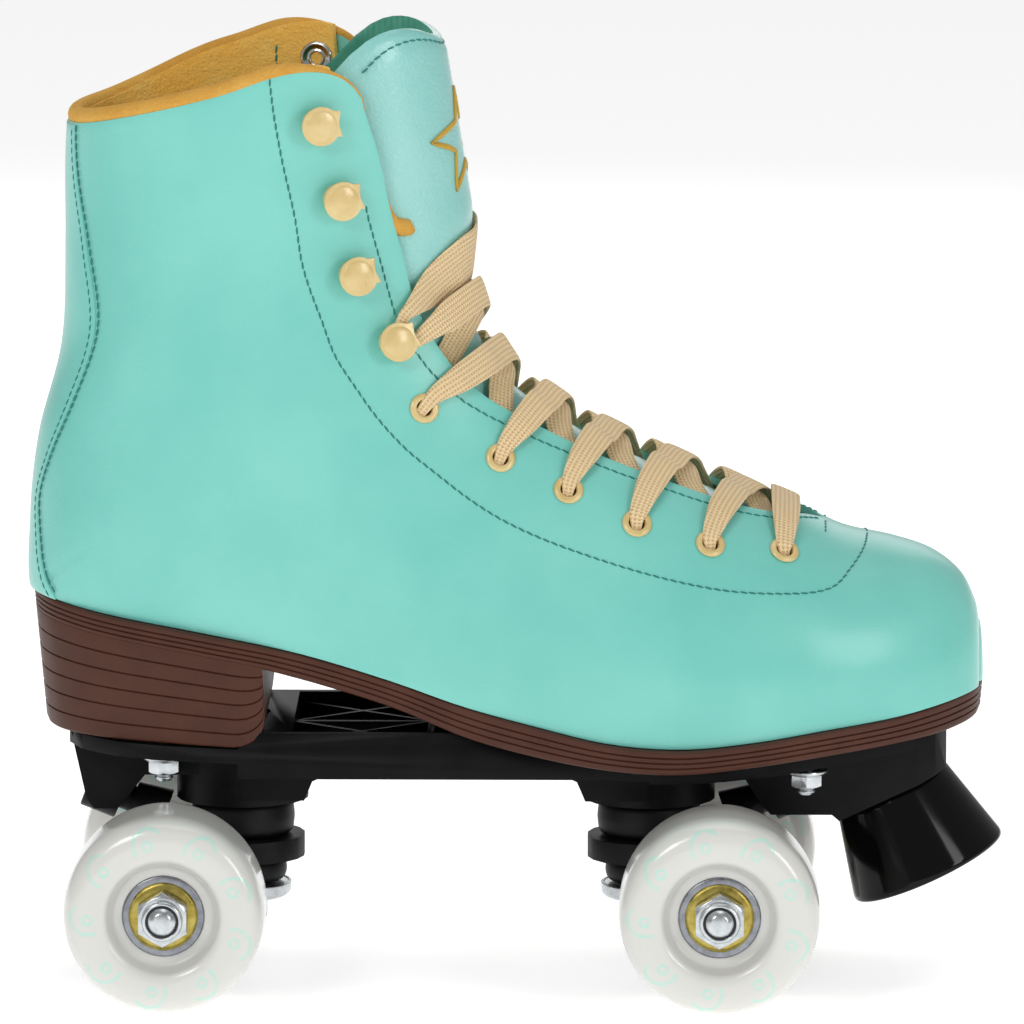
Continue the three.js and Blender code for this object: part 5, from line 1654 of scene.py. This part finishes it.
def add_sole():
    """The moulded slab and the heel block under it, with grooves like stacked layers."""
    back, front = SOLE_HALF_WIDTH[0][0], SOLE_HALF_WIDTH[-1][0]
    stations = [
        back + (front - back) * (1 - math.cos(math.pi * k / SOLE_STATIONS)) / 2 for k in range(SOLE_STATIONS + 1)
    ]
    welt_depth = sole_top_z(-66) - SOLE_BOTTOM[0][1]

    def slab_low(x):
        return sole_bottom_z(x) if x > SOLE_BOTTOM[0][0] else sole_top_z(x) - welt_depth

    slab = layer_solid("sole_unit_visual", stations, slab_low, sole_top_z,
                       wall_rows(1.0, 0.9, SLAB_GROOVES), SOLE_RUBBER)
    heel_stations = [back + (HEEL_BREAST_X - back) * (k / 44) ** 1.9 for k in range(40)]
    heel_stations += [HEEL_BREAST_X - d for d in (BREAST_RADIUS, 7, 5, 3.4, 2.2, 1.2, 0.5, 0)]
    heel_stations = sorted(set(heel_stations))

    def heel_low(x):
        ahead = max(x - (HEEL_BREAST_X - BREAST_RADIUS), 0)
        return heel_seat_z(x) + BREAST_RADIUS - math.sqrt(max(BREAST_RADIUS ** 2 - ahead ** 2, 0))

    heel = layer_solid("heel_block", heel_stations, heel_low, lambda x: slab_low(x) + 0.6,
                       wall_rows(0.8, 0.1, HEEL_GROOVES), SOLE_RUBBER)
    sole = joined("grooved_sole", [slab, heel])
    smoothed(sole, 32)
    settled(sole, "boot", "sole", "sole_unit")


# ---------------------------------------------------------------- plate and trucks

def softened(node, name, material, width):
    """A copy of a CAD node with its flat facets merged and its edges rounded."""
    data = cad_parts[node].data.copy()
    piece = bpy.data.objects.new(name, data)
    bpy.context.scene.collection.objects.link(piece)
    data.materials.clear()
    data.materials.append(material)
    with worked(piece) as work:
        bmesh.ops.remove_doubles(work, verts=work.verts, dist=WELD)
        bmesh.ops.dissolve_limit(work, angle_limit=math.radians(1.5), verts=work.verts, edges=work.edges)
    bevelled(piece, width, 3, 28)
    smoothed(piece, 30)
    return piece


STOP_TILT = 25
STOP_AHEAD_OF_AXLE = 47
STOP_TOP_Z = 51.9


def add_plate():
    """The nylon plate and the toe stop's cone, which hangs forwards under its nose."""
    settled(softened("sole_plate", "moulded_plate", NYLON, 0.7), "boot", "plate", "sole_plate")
    stop = rounded([
        (0, 0), (15.7, 0), (16.4, 0.8), (22.1, 23.4), (21.9, 24.6), (20.6, 25), (0, 25),
    ], (1, 2, 3, 4, 5), 0.8, 4)
    piece = spun("toe_stop_cone", [(r, -h) for r, h in stop], STOPPER, 96, 25)
    tilt = math.radians(STOP_TILT)
    top = to_frame(FRONT_AXLE_X + STOP_AHEAD_OF_AXLE, 0, STOP_TOP_Z)
    axis = Vector((-math.sin(tilt), 0, math.cos(tilt)))
    piece.data.transform(turned_to(axis, top))
    settled(piece, "boot", "toe_stop", "toe_stop")


def hex_nut(flats, height, material, chamfer):
    """A hexagon nut standing on the origin, with its corners turned off at both ends."""
    radius = flats / 2 / math.cos(math.pi / 6)
    bpy.ops.mesh.primitive_cylinder_add(vertices=6, radius=radius * MM, depth=height * MM,
                                        location=(0, 0, height / 2 * MM))
    nut = bpy.context.object
    bpy.ops.object.transform_apply(location=True, rotation=True, scale=True)
    nut.data.materials.append(material)
    flat = flats / 2
    limit = spun("limit", [
        (0, -0.01), (flat * 0.96, -0.01), (radius + 0.1, chamfer), (radius + 0.1, height - chamfer),
        (flat * 0.96, height + 0.01), (0, height + 0.01),
    ], material, 48, 35)
    applied(nut, "BOOLEAN", operation="INTERSECT", object=limit, solver="EXACT")
    removed(limit)
    bevelled(nut, 0.15, 2, 25)
    smoothed(nut, 30)
    return nut


def thread_profile(radius, low, high, pitch):
    """A (radius, height) outline of a threaded rod from low to high, with its thread as fine rings."""
    points = [(0, low), (radius - 0.8, low), (radius, low + 0.8)]
    turns = int((high - low - 1) / pitch)
    for k in range(turns):
        h = low + 1 + k * pitch
        points += [(radius, h), (radius - 0.35, h + pitch * 0.5)]
    points += [(radius, high), (0, high)]
    return points


def add_deck_bolts():
    """The four bolts through the plate, with their flanged nuts."""
    for end in ("rear", "front"):
        for side in ("outer", "inner"):
            bolt_low, bolt_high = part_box(f"deck_bolt_{end}_{side}")
            nut_low, nut_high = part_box(f"deck_nut_{end}_{side}")
            centre = (bolt_low + bolt_high) / 2
            height = (nut_high.z - nut_low.z) / MM
            length = (bolt_high.z - bolt_low.z) / MM
            nut = hex_nut(8, height, ZINC, 0.6)
            flange = spun("flange", rounded([
                (2.6, height), (5.8, height), (5.8, height - 0.7), (4.4, height - 1.5), (2.6, height - 1.6),
                (2.6, height),
            ], (1, 2, 3), 0.3, 2), ZINC, 40, 40)
            nut_piece = joined(f"flange_nut_{end}_{side}", [nut, flange])
            nut_piece.data.transform(Matrix.Translation((centre.x, centre.y, nut_low.z)))
            settled(nut_piece, "boot", "zinc", f"deck_nut_{end}_{side}")
            bolt = spun(f"threaded_bolt_{end}_{side}", thread_profile(2.5, 0, 9, 0.8), ZINC, 32, 25)
            shank = spun("shank", rounded([
                (0, 8), (2.5, 8), (2.5, length - 1.6), (5, length - 1.6), (4.4, length - 0.5), (0, length),
            ], (3, 4), 0.5, 3), ZINC, 32, 40)
            bolt_piece = joined(f"threaded_bolt_{end}_{side}", [bolt, shank])
            bolt_piece.data.transform(Matrix.Translation((centre.x, centre.y, bolt_low.z)))
            settled(bolt_piece, "boot", "zinc", f"deck_bolt_{end}_{side}")


def add_truck(end):
    """Cast hanger, two urethane cushions, cup washer, kingpin and its nut, axle with threaded tips."""
    kingpin = middle_of(f"kingpin_{end}")
    truck = f"{end}_truck"
    settled(softened(f"truck_hanger_{end}", f"cast_hanger_{end}", POWDER_COAT, 0.9), truck, "hanger",
            f"truck_hanger_{end}")
    for which in ("upper", "lower"):
        low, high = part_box(f"cushion_{which}_{end}")
        radius = (high.y - low.y) / 2 / MM
        height = (high.z - low.z) / MM
        profile = rounded([
            (4.3, 0), (radius - 1.6, 0), (radius - 0.4, 1.2), (radius, height / 2), (radius - 0.4, height - 1.2),
            (radius - 1.6, height), (4.3, height), (4.3, 0),
        ], (1, 2, 3, 4, 5), 1.0, 3)
        cushion = spun(f"cushion_{which}_cast_{end}", profile, BUSHING, 64, 40)
        cushion.data.transform(Matrix.Translation((kingpin.x, kingpin.y, low.z)))
        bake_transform(cushion)
        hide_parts(f"cushion_{which}_{end}")
    low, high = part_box(f"cup_washer_{end}")
    height = (high.z - low.z) / MM
    washer = spun(f"pressed_washer_{end}", rounded([
        (4.3, 0), (11.8, 0), (13.0, 1.1), (13.2, height), (12.4, height), (12.2, height - 0.3),
        (4.3, height - 0.3), (4.3, 0),
    ], (1, 2, 3, 4), 0.5, 3), ZINC, 72, 40)
    washer.data.transform(Matrix.Translation((kingpin.x, kingpin.y, low.z)))
    settled(washer, "boot", "zinc", f"cup_washer_{end}")
    low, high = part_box(f"kingpin_nut_{end}")
    nut = hex_nut(13, (high.z - low.z) / MM, ZINC, 1.0)
    nut.name = f"kingpin_locknut_{end}"
    nut.data.transform(Matrix.Translation((kingpin.x, kingpin.y, low.z)))
    settled(nut, "boot", "zinc", f"kingpin_nut_{end}")
    low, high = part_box(f"kingpin_{end}")
    pin = spun(f"kingpin_bolt_{end}", thread_profile(4, 0, 12, 1.25), ZINC, 40, 25)
    pin.data.transform(Matrix.Translation((kingpin.x, kingpin.y, low.z)))
    shank = softened(f"kingpin_{end}", f"kingpin_shank_{end}", ZINC, 0.3)
    settled(joined(f"kingpin_bolt_{end}", [pin, shank]), "boot", "zinc", f"kingpin_{end}")
    settled(softened(f"pivot_cup_{end}", f"pivot_cup_cast_{end}", BUSHING, 0.4), "boot", "cushion",
            f"pivot_cup_{end}")
    add_axle(end, truck)


def add_axle(end, truck):
    """The axle, with both ends turned down and threaded."""
    low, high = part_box(f"axle_{end}")
    centre = (low + high) / 2
    half = (high.y - low.y) / 2 / MM
    tip = [(0, half), (2.2, half), (2.5, half - 0.1), (3.3, half - 0.9)]
    for k in range(9):
        tip += [(3.7, half - 1.4 - k * 1.2), (3.35, half - 2.0 - k * 1.2)]
    tip.append((3.7, half - 13))
    profile = tip + [(r, -h) for r, h in tip[::-1]]
    axle = spun(f"threaded_axle_{end}", profile, ZINC, 48, 28)
    axle.data.transform(Matrix.Translation(centre) @ Matrix.Rotation(math.pi / 2, 4, "X"))
    settled(axle, truck, "zinc", f"axle_{end}")


# ---------------------------------------------------------------- wheels and bearings

def wheel_profile():
    """One half of the wheel's outline from its hub seat to the middle of the tread."""
    keys = [(12.4, 11.45), (13.6, 11.9), (14.5, 13.4), (15.4, 15.0), (16.8, 15.75), (19.5, 16.0), (22.3, 15.75),
            (24.6, 14.7), (26.2, 12.4), (26.85, 9.6), (27.0, 6.5)]
    curve = smooth_path([Vector((r, h, 0)) for r, h in keys], 4)
    return [(11.05, 4.7), (11.05, 11.3), (11.3, 11.45)] + [(p.x, p.y) for p in curve]


def wheel_shape():
    """A wheel lying on its axle, with the seats for its two bearings."""
    half = wheel_profile()
    profile = half + [(27.0, 0)] + [(r, -h) for r, h in half[::-1]]
    hub = [(9.4, -4.7), (9.4, 4.7), (11.05, 4.7)]
    wheel = spun("wheel", profile + hub, WHEEL, 128, 40)
    wheel.data.transform(Matrix.Rotation(math.pi / 2, 4, "X"))
    layer = wheel.data.uv_layers.new(name="face")
    for loop in wheel.data.loops:
        point = wheel.data.vertices[loop.vertex_index].co
        layer.data[loop.index].uv = (point.x / MM, point.z / MM)
    return wheel


def bearing_shape():
    """A bearing's outer race with a dished shield in each face."""
    race = spun("bearing_race", rounded([
        (9.3, -3.5), (10.7, -3.5), (11, -3.2), (11, 3.2), (10.7, 3.5), (9.3, 3.5), (9.3, -3.5),
    ], (1, 2, 3, 4), 0.2, 2), STEEL, 72, 30)
    shields = []
    for sign in (1, -1):
        outline = [(9.35, 3.35), (9.0, 3.1), (8.6, 3.05), (8.2, 3.25), (6.5, 3.25), (6.2, 3.05), (6.2, 2.6)]
        shields.append(spun("shield", [(r, h * sign) for r, h in outline], BRASS, 72, 30))
    return joined("bearing_race", [race] + shields)


def core_shape():
    """A bearing's inner ring."""
    return spun("bearing_core", rounded([
        (4.05, -3.5), (5.9, -3.5), (6.15, -3.2), (6.15, 3.2), (5.9, 3.5), (4.05, 3.5), (4.05, -3.5),
    ], (1, 2, 3, 4), 0.2, 2), STEEL, 56, 30)


def axle_nut_shape():
    """A nylon-insert lock nut standing on the origin."""
    hexagon = hex_nut(13, 5.6, ZINC, 0.9)
    crown = spun("crown", rounded([
        (4.9, 5.0), (5.6, 5.0), (5.6, 6.4), (5.2, 7.4), (4.5, 7.5), (4.4, 7.2), (4.9, 5.0),
    ], (2, 3, 4), 0.4, 3), ZINC, 48, 40)
    insert = spun("insert", [(3.72, 5.2), (4.6, 5.2), (4.6, 7.15), (3.72, 7.25), (3.72, 5.2)], NYLON_INSERT, 48, 40)
    return joined("axle_nut", [hexagon, crown, insert])


def add_wheels():
    """The four wheels, each with two bearings and a lock nut."""
    wheel, race, core, nut = wheel_shape(), bearing_shape(), core_shape(), axle_nut_shape()
    lying = Matrix.Rotation(math.pi / 2, 4, "X")
    for end in ("rear", "front"):
        for side, sign in (("outer", -1), ("inner", 1)):
            node = f"wheel_{end}_{side}"
            body = f"{end}_{side}_wheel"
            truck = f"{end}_truck"
            centre = middle_of(node)
            piece = placed_copy(wheel, f"cast_{node}", Matrix.Translation(centre))
            settled(piece, body, "wheel", node)
            for where in ("outside", "inside"):
                tag = f"{end}_{side}_{where}"
                at = Matrix.Translation(middle_of(f"bearing_race_{tag}")) @ lying
                settled(placed_copy(race, f"shielded_race_{tag}", at), body, "bearing", f"bearing_race_{tag}")
                settled(placed_copy(core, f"inner_ring_{tag}", at), truck, "bearing", f"bearing_core_{tag}")
            low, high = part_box(f"axle_nut_{end}_{side}")
            foot = Vector((centre.x, high.y if sign < 0 else low.y, centre.z))
            at = turned_to((0, sign, 0), foot)
            settled(placed_copy(nut, f"lock_nut_{end}_{side}", at), truck, "zinc", f"axle_nut_{end}_{side}")
    for source in (wheel, race, core, nut):
        removed(source)


# ---------------------------------------------------------------- inside the boot

def add_insole():
    insole = softened("footbed", "fleece_insole", FLEECE, 1.2)
    settled(insole, "boot", "footbed", "footbed")


def colour_hidden_nodes():
    """What stays as the CAD has it, inside the others, still gets its real finish."""
    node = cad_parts["toe_stop_bolt"]
    node.data.materials.clear()
    node.data.materials.append(ZINC)


add_camera()
add_lace()
add_studio()
add_floor()
add_upper()
add_backstay()
add_lining()
add_collar_roll()
add_lining_seam()
add_tongue()
add_tongue_stitching()
add_emblem()
add_seams()
add_eyelets()
add_hooks()
add_sole()
add_plate()
add_deck_bolts()
add_truck("rear")
add_truck("front")
add_wheels()
add_insole()
colour_hidden_nodes()
